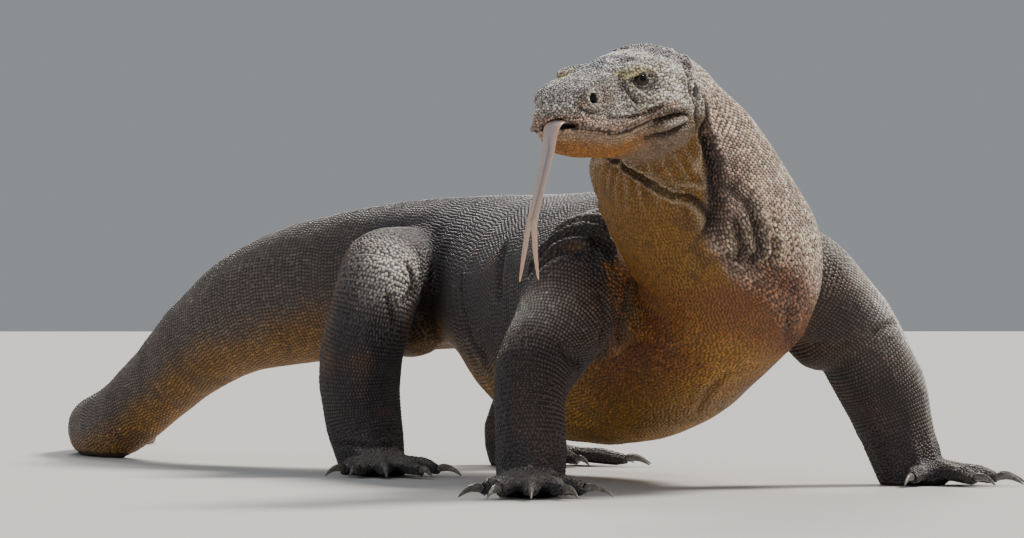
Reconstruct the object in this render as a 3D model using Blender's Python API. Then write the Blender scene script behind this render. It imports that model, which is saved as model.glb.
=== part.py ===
"""Komodo dragon, life size, as a still museum model in a walking stance with the head turned to its right.

The animal faces -Y with +Z up, and its right side is on -X. Its whole flesh is lofted from spine, limb, head
and toe sections, fused into one smooth form, and then parted by thin cuts into head, jaw, neck, trunk, tail
and leg pieces. Claws, eyes, ear drums and the tongue are solids of their own. All sizes are in metres.
"""

import math

import bmesh
import bpy
from mathutils import Matrix, Vector

# Clearance between neighbouring solids, and the fineness of the fused form.
GAP = 0.0004
VOXEL = 0.0032
SMOOTH_ROUNDS = 6
FLESH_TRIANGLES = 14000
DETAIL_BIAS = 4e-5
FLOOR_REACH = 0.0012

# The tables below are written from the point of the spine over the front feet; the whole model is centred last.
# Spine from the nape back to the tip of the tail: x, y, z, half width, height above, depth below, squareness.
SPINE = [
    (-0.131, -0.186, 0.400, 0.062, 0.050, 0.070, 2.0),
    (-0.108, -0.160, 0.376, 0.084, 0.050, 0.096, 2.0),
    (-0.081, -0.134, 0.342, 0.098, 0.058, 0.108, 2.0),
    (-0.050, -0.110, 0.300, 0.103, 0.072, 0.108, 2.0),
    (-0.020, -0.082, 0.262, 0.104, 0.086, 0.104, 2.0),
    (-0.002, -0.040, 0.232, 0.108, 0.102, 0.108, 2.0),
    (0.000, 0.030, 0.214, 0.118, 0.114, 0.118, 2.1),
    (0.001, 0.140, 0.204, 0.136, 0.126, 0.146, 2.1),
    (0.005, 0.270, 0.196, 0.150, 0.132, 0.157, 2.1),
    (0.010, 0.400, 0.203, 0.146, 0.127, 0.156, 2.1),
    (0.006, 0.530, 0.222, 0.124, 0.110, 0.120, 2.1),
    (-0.017, 0.640, 0.237, 0.099, 0.097, 0.094, 2.1),
    (-0.060, 0.730, 0.236, 0.084, 0.094, 0.092, 2.0),
    (-0.108, 0.812, 0.230, 0.074, 0.092, 0.092, 2.0),
    (-0.165, 0.905, 0.214, 0.064, 0.088, 0.088, 2.0),
    (-0.210, 1.001, 0.188, 0.055, 0.078, 0.076, 2.0),
    (-0.240, 1.095, 0.148, 0.047, 0.068, 0.064, 2.0),
    (-0.266, 1.190, 0.096, 0.040, 0.057, 0.054, 2.0),
    (-0.292, 1.290, 0.053, 0.034, 0.048, 0.056, 2.0),
    (-0.297, 1.400, 0.040, 0.029, 0.040, 0.044, 2.0),
    (-0.272, 1.520, 0.034, 0.025, 0.033, 0.038, 2.0),
    (-0.222, 1.640, 0.028, 0.020, 0.026, 0.032, 2.0),
    (-0.160, 1.755, 0.022, 0.016, 0.020, 0.026, 2.0),
    (-0.100, 1.865, 0.016, 0.013, 0.015, 0.020, 2.0),
    (-0.052, 1.970, 0.012, 0.010, 0.011, 0.016, 2.0),
    (-0.028, 2.050, 0.009, 0.007, 0.007, 0.013, 2.0),
]

# Legs from the body out to the sole: x, y, z, and the radius.
FRONT_RIGHT_LEG = [
    (-0.060, 0.020, 0.235, 0.062),
    (-0.112, 0.012, 0.238, 0.064),
    (-0.160, -0.018, 0.205, 0.056),
    (-0.195, -0.050, 0.165, 0.049),
    (-0.228, -0.078, 0.130, 0.043),
    (-0.243, -0.098, 0.095, 0.038),
    (-0.246, -0.108, 0.058, 0.038),
    (-0.248, -0.114, 0.026, 0.037),
    (-0.250, -0.118, 0.003, 0.033),
]
FRONT_LEFT_LEG = [
    (0.060, 0.020, 0.222, 0.062),
    (0.105, 0.016, 0.222, 0.064),
    (0.145, 0.024, 0.200, 0.058),
    (0.182, 0.032, 0.172, 0.052),
    (0.205, 0.036, 0.140, 0.050),
    (0.228, 0.038, 0.100, 0.048),
    (0.240, 0.036, 0.065, 0.043),
    (0.252, 0.032, 0.028, 0.039),
    (0.258, 0.028, 0.003, 0.036),
]
HIND_RIGHT_LEG = [
    (-0.050, 0.680, 0.226, 0.066),
    (-0.100, 0.655, 0.228, 0.066),
    (-0.150, 0.600, 0.232, 0.062),
    (-0.180, 0.545, 0.230, 0.052),
    (-0.196, 0.540, 0.185, 0.050),
    (-0.204, 0.553, 0.130, 0.050),
    (-0.200, 0.558, 0.075, 0.047),
    (-0.194, 0.550, 0.030, 0.043),
    (-0.193, 0.545, 0.003, 0.037),
]
HIND_LEFT_LEG = [
    (0.020, 0.660, 0.228, 0.066),
    (0.052, 0.672, 0.226, 0.070),
    (0.120, 0.672, 0.215, 0.062),
    (0.170, 0.680, 0.190, 0.052),
    (0.160, 0.718, 0.145, 0.050),
    (0.125, 0.770, 0.098, 0.047),
    (0.098, 0.808, 0.058, 0.043),
    (0.089, 0.810, 0.030, 0.039),
    (0.093, 0.806, 0.003, 0.034),
]
# Muscles that stand out from the limbs: centre and radii.
MUSCLES = [
    ((-0.131, -0.014, 0.172), (0.037, 0.040, 0.036)),
    ((0.146, 0.030, 0.160), (0.038, 0.040, 0.036)),
    ((-0.110, 0.640, 0.185), (0.050, 0.070, 0.050)),
    ((0.085, 0.690, 0.190), (0.056, 0.062, 0.046)),
    ((-0.208, 0.585, 0.145), (0.034, 0.036, 0.060)),
    ((0.131, 0.760, 0.112), (0.047, 0.046, 0.047)),
]

# Feet: sole centre, heading of the middle toe in degrees from -Y towards -X, palm length and half width,
# and for each toe its fan angle and length.
FEET = {
    "front_right": ((-0.255, -0.130), 18, 0.050, 0.036, [(52, 0.040), (27, 0.052), (3, 0.058), (-22, 0.054), (-56, 0.040)]),
    "front_left": ((0.264, 0.022), -44, 0.050, 0.036, [(-54, 0.038), (-23, 0.050), (2, 0.054), (28, 0.050), (86, 0.040)]),
    "hind_right": ((-0.192, 0.520), 14, 0.066, 0.038, [(44, 0.042), (22, 0.062), (2, 0.080), (-18, 0.092), (-50, 0.056)]),
    "hind_left": ((0.106, 0.792), -60, 0.066, 0.038, [(-44, 0.042), (-22, 0.062), (-2, 0.080), (18, 0.092), (50, 0.056)]),
}
TOE_RADIUS = 0.0105
# Along each toe: share of its length, height of its middle, and radius as a share of TOE_RADIUS.
TOE_PROFILE = [
    (-0.50, 0.0160, 1.00),
    (0.00, 0.0160, 1.12),
    (0.28, 0.0140, 0.98),
    (0.55, 0.0130, 1.05),
    (0.80, 0.0095, 0.86),
    (1.00, 0.0090, 0.74),
]
CLAW_LENGTH = 0.034
CLAW_RADIUS = 0.0054
CLAW_ROOT = 0.004
CLAW_FLATNESS = 0.75
# Along each claw: share of its length, height of its middle, and radius as a share of CLAW_RADIUS.
CLAW_PROFILE = [
    (0.00, 0.0092, 0.80),
    (0.22, 0.0112, 1.00),
    (0.50, 0.0110, 0.80),
    (0.78, 0.0072, 0.50),
    (1.00, 0.0022, 0.16),
]

# Head frame: its origin is between the jaw joints, and it looks forward along +U, left along +V, up along +W.
HEAD_ORIGIN = Vector((-0.131, -0.186, 0.405))
HEAD_TURN = math.radians(55)
HEAD_PITCH = math.radians(-9)
HEAD_ROLL = math.radians(1)
# Skull sections: distance forward, half width, height above the mouth line, depth below it, squareness.
SKULL = [
    (0.219, 0.009, 0.010, 0.010, 2.2),
    (0.214, 0.018, 0.019, 0.019, 2.3),
    (0.204, 0.026, 0.029, 0.028, 2.4),
    (0.188, 0.032, 0.036, 0.035, 2.5),
    (0.165, 0.037, 0.040, 0.040, 2.5),
    (0.140, 0.041, 0.044, 0.043, 2.4),
    (0.115, 0.046, 0.050, 0.046, 2.3),
    (0.090, 0.054, 0.055, 0.050, 2.2),
    (0.060, 0.062, 0.058, 0.056, 2.2),
    (0.030, 0.064, 0.060, 0.062, 2.1),
    (0.006, 0.061, 0.054, 0.067, 2.0),
    (-0.016, 0.056, 0.044, 0.066, 2.0),
    (-0.034, 0.044, 0.028, 0.056, 2.0),
]
# Swellings on each side of the head: centre, and radii along the head's own directions.
SWELLINGS = [
    ((0.102, 0.036, 0.040), (0.028, 0.011, 0.009)),
    ((0.142, 0.0265, 0.0315), (0.038, 0.0105, 0.0085)),
    ((0.178, 0.019, 0.022), (0.018, 0.014, 0.013)),
    ((0.062, 0.040, 0.012), (0.044, 0.0245, 0.036)),
    ((0.058, 0.039, -0.014), (0.048, 0.0245, 0.034)),
    ((0.140, 0.031, -0.006), (0.062, 0.0110, 0.010)),
]
EYE_AT = (0.104, 0.0382, 0.0285)
EYE_RADIUS = 0.0088
NOSTRIL_AT = (0.179, 0.0305, 0.0195)
NOSTRIL_SIZE = (0.0056, 0.0060, 0.0044)
EAR_AT = (0.036, 0.0640, 0.010)
EAR_SIZE = (0.0052, 0.0060, 0.0095)
EAR_DRUM_DEPTH = 0.0028
EAR_DRUM_SIZE = (0.0032, 0.0010, 0.0062)
# Mouth line seen from the side, from front to back: distance forward, height, and half the opening.
MOUTH_LINE = [
    (0.240, -0.006, 0.0055),
    (0.205, -0.007, 0.0048),
    (0.180, -0.012, 0.0024),
    (0.150, -0.0195, 0.0009),
    (0.126, -0.018, 0.0005),
    (0.103, -0.012, 0.0004),
    (0.080, -0.010, 0.0003),
    (0.062, -0.0105, 0.0002),
    (0.040, -0.014, 0.0002),
    (0.000, -0.022, 0.0002),
]
MOUTH_HALF_WIDTH = 0.110
# The upper lip arches over the tongue: rise, how far to the left, spread, and where it starts and is full.
LIP_ARCH = (0.0080, 0.009, 0.018, 0.165, 0.205)

# Tongue in the head frame, from inside the mouth to its fork, and its two tips: place and half width.
TONGUE = [
    (0.186, 0.0060, -0.0065, 0.0070),
    (0.200, 0.0075, -0.0008, 0.0100),
    (0.215, 0.0085, 0.0005, 0.0112),
    (0.226, 0.0092, -0.0060, 0.0112),
    (0.231, 0.0090, -0.0240, 0.0098),
    (0.242, 0.0010, -0.0605, 0.0080),
    (0.253, -0.0067, -0.0960, 0.0070),
]
TONGUE_TIPS = [
    [(0.252, -0.0090, -0.0900, 0.0040), (0.2605, -0.0130, -0.1200, 0.0032), (0.2685, -0.0166, -0.1480, 0.0012)],
    [(0.252, -0.0035, -0.0900, 0.0040), (0.2555, -0.0035, -0.1200, 0.0032), (0.2580, -0.0015, -0.1480, 0.0012)],
]
TONGUE_FLATNESS = 0.24

# Where the flesh is parted: the piece's name, a point near its middle, the cut's centre, its normal and radius.
LIMB_ROOTS = [
    ("upper_arm_right", (-0.220, -0.070, 0.110), (-0.164, -0.029, 0.189), (0.69, 0.60, 0.41), 0.075),
    ("upper_arm_left", (0.200, 0.032, 0.140), (0.124, 0.021, 0.208), (0.93, -0.21, -0.31), 0.085),
    ("thigh_right", (-0.185, 0.550, 0.150), (-0.141, 0.612, 0.225), (1, 0.173, 0), 0.100),
    ("thigh_left", (0.140, 0.740, 0.120), (0.100, 0.672, 0.212), (1, 0.417, 0), 0.106),
]
LIMB_CUTS = {
    "upper_arm_right": [
        ("hand_right", (-0.247, -0.112, 0.020), (-0.246, -0.110, 0.046), (0, 0, 1), 0.075),
        ("forearm_right", (-0.244, -0.100, 0.085), (-0.215, -0.069, 0.141), (-0.63, -0.54, -0.56), 0.066),
    ],
    "upper_arm_left": [
        ("hand_left", (0.252, 0.032, 0.020), (0.247, 0.034, 0.048), (0, 0, 1), 0.075),
        ("forearm_left", (0.235, 0.037, 0.085), (0.202, 0.034, 0.149), (0.57, 0.0, -0.82), 0.070),
    ],
    "thigh_right": [
        ("foot_right", (-0.194, 0.550, 0.020), (-0.196, 0.554, 0.052), (0, 0, 1), 0.085),
        ("shank_right", (-0.202, 0.556, 0.100), (-0.195, 0.555, 0.192), (-0.39, -0.27, -0.88), 0.080),
    ],
    "thigh_left": [
        ("foot_left", (0.090, 0.812, 0.020), (0.093, 0.810, 0.050), (0, 0, 1), 0.085),
        ("shank_left", (0.112, 0.790, 0.080), (0.162, 0.701, 0.169), (0.54, 0.52, -0.66), 0.086),
    ],
}
SPINE_CUTS = [
    ("tail_tip", (-0.060, 1.950, 0.010), (-0.160, 1.755, 0.020), (0.45, 0.89, 0), 0.060),
    ("tail_rear", (-0.280, 1.480, 0.030), (-0.296, 1.370, 0.042), (0, 1, 0), 0.090),
    ("tail_middle", (-0.280, 1.240, 0.070), (-0.226, 1.045, 0.168), (-0.30, 0.86, -0.42), 0.110),
    ("tail_base", (-0.165, 0.905, 0.210), (-0.085, 0.772, 0.233), (-0.50, 0.86, 0), 0.130),
    ("pelvis", (-0.017, 0.640, 0.230), (0.006, 0.530, 0.222), (-0.10, 1, 0), 0.170),
    ("abdomen", (0.008, 0.400, 0.200), (0.003, 0.225, 0.200), (0, 1, 0), 0.200),
    ("chest", (0.000, 0.080, 0.210), (-0.021, -0.061, 0.259), (0.03, 0.85, -0.52), 0.150),
]
# The head leaves the neck on a plane leaning in the head frame.
NAPE_CUT = ((0.028, 0.0, -0.010), (0.942, 0.0, 0.336), 0.150)

# Triangles kept by each piece of flesh before the claws, eyes, nostrils and ears are let in.
PIECE_TRIANGLES = {
    "head": 1270,
    "lower_jaw": 430,
    "neck": 400,
    "chest": 480,
    "abdomen": 300,
    "pelvis": 390,
    "tail_base": 230,
    "tail_middle": 220,
    "tail_rear": 230,
    "tail_tip": 150,
    "upper_arm": 150,
    "forearm": 150,
    "thigh": 170,
    "shank": 160,
    "hand": 212,
    "foot": 216,
}

# Plain colours, and how rough each kind of surface is.
COLOURS = {
    "hide": (0.120, 0.105, 0.090),
    "pale_hide": (0.300, 0.280, 0.240),
    "belly_hide": (0.210, 0.140, 0.070),
    "claw": (0.180, 0.170, 0.160),
    "eye": (0.020, 0.012, 0.008),
    "tongue": (0.520, 0.400, 0.400),
    "drum": (0.100, 0.085, 0.075),
}
ROUGHNESS = {"eye": 0.08, "claw": 0.35, "tongue": 0.35}


# ---------------------------------------------------------------- small mathematics


def smooth_rows(rows, steps):
    """Rows of numbers passed through by a Catmull-Rom curve, with steps rows for each stretch."""
    out = []
    for i in range(len(rows) - 1):
        four = (rows[max(i - 1, 0)], rows[i], rows[i + 1], rows[min(i + 2, len(rows) - 1)])
        for k in range(steps):
            out.append(tuple(catmull_rom(*values, k / steps) for values in zip(*four)))
    out.append(tuple(rows[-1]))
    return out


def catmull_rom(a, b, c, d, t):
    """Value between b and c at the share t."""
    return 0.5 * (2 * b + (c - a) * t + (2 * a - 5 * b + 4 * c - d) * t**2 + (3 * b - a - 3 * c + d) * t**3)


def smoothstep(low, high, value):
    """Soft step from 0 at low to 1 at high."""
    t = min(max((value - low) / (high - low), 0), 1)
    return t * t * (3 - 2 * t)


def superellipse(angle, power):
    """Point of a unit superellipse at this angle."""
    c, s = math.cos(angle), math.sin(angle)
    return math.copysign(abs(c) ** (2 / power), c), math.copysign(abs(s) ** (2 / power), s)


def head_directions():
    """The head's forward, left and up."""
    flat = Vector((-math.sin(HEAD_TURN), -math.cos(HEAD_TURN), 0))
    upright = Vector((0, 0, 1))
    forward = flat * math.cos(HEAD_PITCH) + upright * math.sin(HEAD_PITCH)
    level_left = upright.cross(flat)
    level_up = forward.cross(level_left)
    left = level_left * math.cos(HEAD_ROLL) + level_up * math.sin(HEAD_ROLL)
    return forward, left, forward.cross(left)


def head_point(u, v, w):
    """Place of a point of the head frame."""
    forward, left, up = head_directions()
    return HEAD_ORIGIN + forward * u + left * v + up * w


def head_axes():
    """Rotation whose columns are the head's forward, left and up."""
    return Matrix(head_directions()).transposed()


# ---------------------------------------------------------------- mesh making


def new_object(name, work, recalculate=True):
    """Links a bmesh to the scene as an object, and frees it."""
    if recalculate:
        bmesh.ops.recalc_face_normals(work, faces=work.faces)
    mesh = bpy.data.meshes.new(name)
    work.to_mesh(mesh)
    work.free()
    made = bpy.data.objects.new(name, mesh)
    bpy.context.scene.collection.objects.link(made)
    return made


def bridge_rings(name, rings):
    """Closed tube through rings of points, with a fan over each end."""
    work = bmesh.new()
    verts = [[work.verts.new(point) for point in ring] for ring in rings]
    sides = len(rings[0])
    for near, far in zip(verts, verts[1:]):
        for i in range(sides):
            j = (i + 1) % sides
            work.faces.new((near[i], near[j], far[j], far[i]))
    for ring in (verts[0], verts[-1]):
        middle = work.verts.new(sum((v.co for v in ring), Vector()) / sides)
        for i in range(sides):
            work.faces.new((ring[i], ring[(i + 1) % sides], middle))
    return new_object(name, work)


def headings(points):
    """Unit direction of a path at each of its points."""
    last = len(points) - 1
    return [(points[min(i + 1, last)] - points[max(i - 1, 0)]).normalized() for i in range(last + 1)]


def spine_rings(angles, steps=4):
    """Points of the body's sections at these angles, each section standing across the spine."""
    rows = smooth_rows(SPINE, steps)
    points = [Vector(row[:3]) for row in rows]
    rings = []
    for row, point, along in zip(rows, points, headings(points)):
        side = along.cross(Vector((0, 0, 1))).normalized()
        above = side.cross(along)
        half, up, down, power = row[3:]
        ring = []
        for angle in angles:
            x, z = superellipse(angle, power)
            ring.append(point + side * half * x + above * (up if z > 0 else down) * z)
        rings.append(ring)
    return rings


def tube(name, rows, sides=20, steps=4, wide_axis=None, flatness=1.0):
    """Tube along rows of x, y, z and radius; flatness thins it across its wide axis."""
    rows = smooth_rows(rows, steps)
    points = [Vector(row[:3]) for row in rows]
    rings = []
    across = wide_axis or headings(points)[0].orthogonal()
    for row, point, along in zip(rows, points, headings(points)):
        across = ((wide_axis or across) - along * along.dot(wide_axis or across)).normalized()
        other = along.cross(across) * flatness
        ring = []
        for k in range(sides):
            angle = 2 * math.pi * k / sides
            ring.append(point + (across * math.cos(angle) + other * math.sin(angle)) * row[3])
        rings.append(ring)
    return bridge_rings(name, rings)


def ellipsoid(name, centre, radii, axes=None, segments=20, rings=12):
    """Ellipsoid with its radii along the given axes."""
    work = bmesh.new()
    bmesh.ops.create_uvsphere(work, u_segments=segments, v_segments=rings, radius=1)
    turn = axes or Matrix.Identity(3)
    placing = Matrix.Translation(centre) @ turn.to_4x4() @ Matrix.Diagonal((*radii, 1))
    bmesh.ops.transform(work, matrix=placing, verts=work.verts)
    return new_object(name, work)


def disc(centre, normal, radius, thickness=GAP):
    """Thin round plate for parting the flesh."""
    work = bmesh.new()
    bmesh.ops.create_cone(
        work, cap_ends=True, segments=24, radius1=radius, radius2=radius, depth=thickness
    )
    turn = Vector(normal).to_track_quat("Z", "Y").to_matrix().to_4x4()
    bmesh.ops.transform(work, matrix=Matrix.Translation(centre) @ turn, verts=work.verts)
    return new_object("disc", work)


def swollen(source, by):
    """Copy of an object with each vertex moved out along its normal."""
    made = source.copy()
    made.data = source.data.copy()
    bpy.context.scene.collection.objects.link(made)
    normals = [v.normal.copy() for v in made.data.vertices]
    for vertex, normal in zip(made.data.vertices, normals):
        vertex.co += normal * by
    return made


def plate(name, top, bottom):
    """Closed thin plate between two grids of points."""
    work = bmesh.new()
    layers = [[[work.verts.new(point) for point in row] for row in grid] for grid in (top, bottom)]
    rows, columns = len(top), len(top[0])
    for i in range(rows - 1):
        for j in range(columns - 1):
            for layer in layers:
                work.faces.new((layer[i][j], layer[i][j + 1], layer[i + 1][j + 1], layer[i + 1][j]))
    upper, lower = layers
    for i in range(rows - 1):
        for j in (0, columns - 1):
            work.faces.new((upper[i][j], upper[i + 1][j], lower[i + 1][j], lower[i][j]))
    for j in range(columns - 1):
        for i in (0, rows - 1):
            work.faces.new((upper[i][j], upper[i][j + 1], lower[i][j + 1], lower[i][j]))
    return new_object(name, work)


# ---------------------------------------------------------------- modifiers, joins and cuts


def apply_modifiers(made):
    """Bakes an object's modifiers into its mesh."""
    graph = bpy.context.evaluated_depsgraph_get()
    graph.update()
    baked = bpy.data.meshes.new_from_object(made.evaluated_get(graph))
    made.modifiers.clear()
    made.data = baked


def remove(*objects):
    """Takes objects out of the file."""
    for each in objects:
        bpy.data.objects.remove(each)


def join(name, objects):
    """One object holding the meshes of several."""
    work = bmesh.new()
    for each in objects:
        work.from_mesh(each.data)
    remove(*objects)
    return new_object(name, work, recalculate=False)


def boolean(target, cutter, operation="DIFFERENCE"):
    """Applies one Boolean to an object, and removes the cutter."""
    change = target.modifiers.new("cut", "BOOLEAN")
    change.operation = operation
    change.object = cutter
    change.solver = "EXACT"
    apply_modifiers(target)
    remove(cutter)


def islands(work):
    """Sets of connected vertices of a bmesh."""
    seen, groups = set(), []
    for start in work.verts:
        if start in seen:
            continue
        seen.add(start)
        stack, group = [start], set()
        while stack:
            vertex = stack.pop()
            group.add(vertex)
            for edge in vertex.link_edges:
                other = edge.other_vert(vertex)
                if other not in seen:
                    seen.add(other)
                    stack.append(other)
        groups.append(group)
    return groups


def middle_of(vertices):
    """Mean place of vertices."""
    return sum((v.co for v in vertices), Vector()) / len(vertices)


def part_off(target, cutter, name, inside):
    """Parts an object with a thin cutter; the piece whose middle is nearest to a point gets the name."""
    boolean(target, cutter)
    work = bmesh.new()
    work.from_mesh(target.data)
    work.verts.ensure_lookup_table()
    point = Vector(inside)
    groups = sorted(islands(work), key=lambda group: (middle_of(group) - point).length)
    taken = {v.index for v in groups[0]}
    piece = work.copy()
    piece.verts.ensure_lookup_table()
    bmesh.ops.delete(piece, geom=[v for v in piece.verts if v.index not in taken], context="VERTS")
    bmesh.ops.delete(work, geom=list(groups[0]), context="VERTS")
    work.to_mesh(target.data)
    work.free()
    return new_object(name, piece, recalculate=False)


# ---------------------------------------------------------------- the animal's flesh


def head_forms():
    """Skull loft with the swellings of brows, nostrils, temples, jaws and lips."""
    rings = []
    sides = 32
    for forward, half, up, down, power in smooth_rows(SKULL, 3):
        ring = []
        for k in range(sides):
            x, z = superellipse(2 * math.pi * k / sides, power)
            narrow = 1.0 if z > 0 else 1.0 + 0.10 * z
            ring.append(head_point(forward, half * x * narrow, (up if z > 0 else down) * z))
        rings.append(ring)
    forms = [bridge_rings("skull", rings)]
    for (forward, aside, height), radii in SWELLINGS:
        for sign in (1, -1):
            place = head_point(forward, sign * aside, height)
            forms.append(ellipsoid("swelling", place, radii, head_axes()))
    return forms


def foot_frame(foot):
    """Sole centre of a foot and the direction of its middle toe."""
    centre, heading = FEET[foot][:2]
    angle = math.radians(heading)
    return Vector((*centre, 0)), Vector((-math.sin(angle), -math.cos(angle), 0))


def toe_lines(foot):
    """For each toe, where it leaves the palm, its direction and its length."""
    centre, heading = foot_frame(foot)
    palm_length, palm_half = FEET[foot][2:4]
    lines = []
    for fan, length in FEET[foot][4]:
        direction = Matrix.Rotation(math.radians(-fan), 3, "Z") @ heading
        lines.append((centre + direction * palm_half * 0.75 + heading * palm_length * 0.18, direction, length))
    return lines


def foot_forms(foot):
    """Palm, heel and toes of one foot."""
    centre, heading = foot_frame(foot)
    palm_length, palm_half = FEET[foot][2:4]
    axes = Matrix((heading, Vector((0, 0, 1)).cross(heading), Vector((0, 0, 1)))).transposed()
    heel = centre - heading * palm_length * 0.3 + Vector((0, 0, 0.018))
    forms = [
        ellipsoid("palm", centre + Vector((0, 0, 0.013)), (palm_length * 0.72, palm_half, 0.021), axes),
        ellipsoid("heel", heel, (0.034, 0.033, 0.026), axes),
    ]
    for base, direction, length in toe_lines(foot):
        rows = []
        for share, height, radius in TOE_PROFILE:
            place = base + direction * length * share
            rows.append((place.x, place.y, height, TOE_RADIUS * radius))
        forms.append(tube("toe", rows, sides=12, steps=3))
    return forms


def fused_flesh():
    """The whole animal as one smooth closed mesh of few triangles, flat where it stands on the floor."""
    turn = [2 * math.pi * k / 28 for k in range(28)]
    forms = [bridge_rings("spine_form", spine_rings(turn))] + head_forms()
    for rows in (FRONT_RIGHT_LEG, FRONT_LEFT_LEG, HIND_RIGHT_LEG, HIND_LEFT_LEG):
        forms.append(tube("leg_form", rows))
    forms += [ellipsoid("muscle", Vector(centre), radii) for centre, radii in MUSCLES]
    for foot in FEET:
        forms += foot_forms(foot)
    flesh = join("flesh", forms)
    fuse(flesh, VOXEL, SMOOTH_ROUNDS)
    thin_out(flesh)
    boolean(flesh, floor_block())
    return flesh


def fuse(made, voxel, rounds):
    """Rebuilds overlapping closed forms as one smooth skin."""
    remesh = made.modifiers.new("fuse", "REMESH")
    remesh.mode = "VOXEL"
    remesh.voxel_size = voxel
    soften = made.modifiers.new("soften", "SMOOTH")
    soften.factor = 0.5
    soften.iterations = rounds
    apply_modifiers(made)


def thin_out(flesh):
    """Collapses the fused mesh to few triangles, keeping more of them on the head and the feet."""
    head = head_point(0.12, 0, 0)
    keen = flesh.vertex_groups.new(name="keen")
    for vertex in flesh.data.vertices:
        near_head = (vertex.co - head).length < 0.13
        near_floor = vertex.co.z < 0.05 and vertex.co.y < 0.95
        keen.add([vertex.index], 0.9 if near_head else 0.4 if near_floor else 0.0, "REPLACE")
    collapse = flesh.modifiers.new("thin", "DECIMATE")
    collapse.ratio = FLESH_TRIANGLES / (2 * len(flesh.data.polygons))
    collapse.vertex_group = "keen"
    collapse.invert_vertex_group = True
    collapse.vertex_group_factor = DETAIL_BIAS
    apply_modifiers(flesh)
    flesh.vertex_groups.clear()


def floor_block():
    """Block under the floor, which flattens what reaches it."""
    work = bmesh.new()
    bmesh.ops.create_cube(work, size=1)
    placing = Matrix.Translation((0, 1, -0.05)) @ Matrix.Diagonal((2, 4, 0.1, 1))
    bmesh.ops.transform(work, matrix=placing, verts=work.verts)
    return new_object("floor_block", work)


def mouth_cutter():
    """Curved plate between the jaws, which opens towards the front and arches over the tongue."""
    rise, aside, spread, start, full = LIP_ARCH
    layers = []
    for side in (1, -1):
        layer = []
        for u, w, half in smooth_rows(MOUTH_LINE, 3):
            row = []
            for k in range(21):
                v = MOUTH_HALF_WIDTH * (k / 10 - 1)
                hump = math.exp(-(((v - aside) / spread) ** 2))
                lift = rise * hump * smoothstep(start, full, u)
                open_half = GAP / 2 + (half - GAP / 2) * hump
                row.append(head_point(u, v, w + lift + side * open_half))
            layer.append(row)
        layers.append(layer)
    return plate("mouth_cutter", *layers)


def parted_flesh():
    """The flesh as separate named pieces."""
    flesh = fused_flesh()
    pieces = {}
    for name, inside, middle, normal, reach in LIMB_ROOTS:
        limb = part_off(flesh, disc(middle, normal, reach), name, inside)
        pieces[name] = limb
        for lower, point, middle, normal, reach in LIMB_CUTS[name]:
            pieces[lower] = part_off(limb, disc(middle, normal, reach), lower, point)
    for name, inside, centre, normal, radius in SPINE_CUTS:
        pieces[name] = part_off(flesh, disc(centre, normal, radius), name, inside)
    centre, normal, radius = NAPE_CUT
    leaning = head_axes() @ Vector(normal)
    head = part_off(flesh, disc(head_point(*centre), leaning, radius), "head", head_point(0.10, 0, 0.01))
    pieces["head"] = head
    pieces["lower_jaw"] = part_off(head, mouth_cutter(), "lower_jaw", head_point(0.12, 0, -0.035))
    pieces["neck"] = flesh
    return pieces


# ---------------------------------------------------------------- eyes, ears, nose, tongue and claws


def mirrored(place, sign):
    """Point of the head frame on the left for +1, on the right for -1."""
    forward, aside, height = place
    return head_point(forward, sign * aside, height)


def face_details(head):
    """Cuts the sockets of eyes, nostrils and ears, and makes the eyes and the ear drums."""
    made = {}
    axes = head_axes()
    for side, sign in (("left", 1), ("right", -1)):
        eye = mirrored(EYE_AT, sign)
        socket = EYE_RADIUS + GAP
        boolean(head, ellipsoid("socket", eye, (socket, socket, socket), axes, 14, 9))
        made["eye_" + side] = ellipsoid("eye_" + side, eye, [EYE_RADIUS] * 3, axes, 12, 8)
        boolean(head, ellipsoid("nostril", mirrored(NOSTRIL_AT, sign), NOSTRIL_SIZE, axes, 8, 6))
        boolean(head, ellipsoid("ear", mirrored(EAR_AT, sign), EAR_SIZE, axes, 8, 6))
        forward, aside, height = EAR_AT
        drum = mirrored((forward, aside - EAR_DRUM_DEPTH, height), sign)
        name = "ear_drum_" + side
        made[name] = ellipsoid(name, drum, EAR_DRUM_SIZE, axes, 8, 4)
    return made


def tongue():
    """Forked tongue hanging out of the mouth."""
    wide = head_directions()[1]
    rows = [(*head_point(u, v, w), half) for u, v, w, half in TONGUE]
    stem = tube("tongue", rows, 8, 2, wide, TONGUE_FLATNESS)
    for tip in TONGUE_TIPS:
        rows = [(*head_point(u, v, w), half) for u, v, w, half in tip]
        boolean(stem, tube("tip", rows, 6, 2, wide, 0.6), "UNION")
    return stem


def claws(foot, flesh):
    """Curved claws of a foot, each in a socket of its toe."""
    made = {}
    for number, (base, direction, length) in enumerate(toe_lines(foot), 1):
        rows = []
        for reach, height, radius in CLAW_PROFILE:
            place = base + direction * (length - CLAW_ROOT + reach * CLAW_LENGTH)
            rows.append((place.x, place.y, height, CLAW_RADIUS * radius))
        upright = Vector((0, 0, 1))
        name = "claw_%s_%d" % (foot, number)
        made[name] = tube(name, rows, 6, 1, upright, CLAW_FLATNESS)
        boolean(flesh, swollen(made[name], GAP))
    return made


# ---------------------------------------------------------------- finishing


def kind_of(name):
    """Which colour a piece takes."""
    for kind in ("claw", "eye", "tongue"):
        if name.startswith(kind):
            return kind
    if name.startswith("ear_drum"):
        return "drum"
    if name in ("head", "neck"):
        return "pale_hide"
    if name in ("lower_jaw", "abdomen", "chest"):
        return "belly_hide"
    return "hide"


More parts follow.
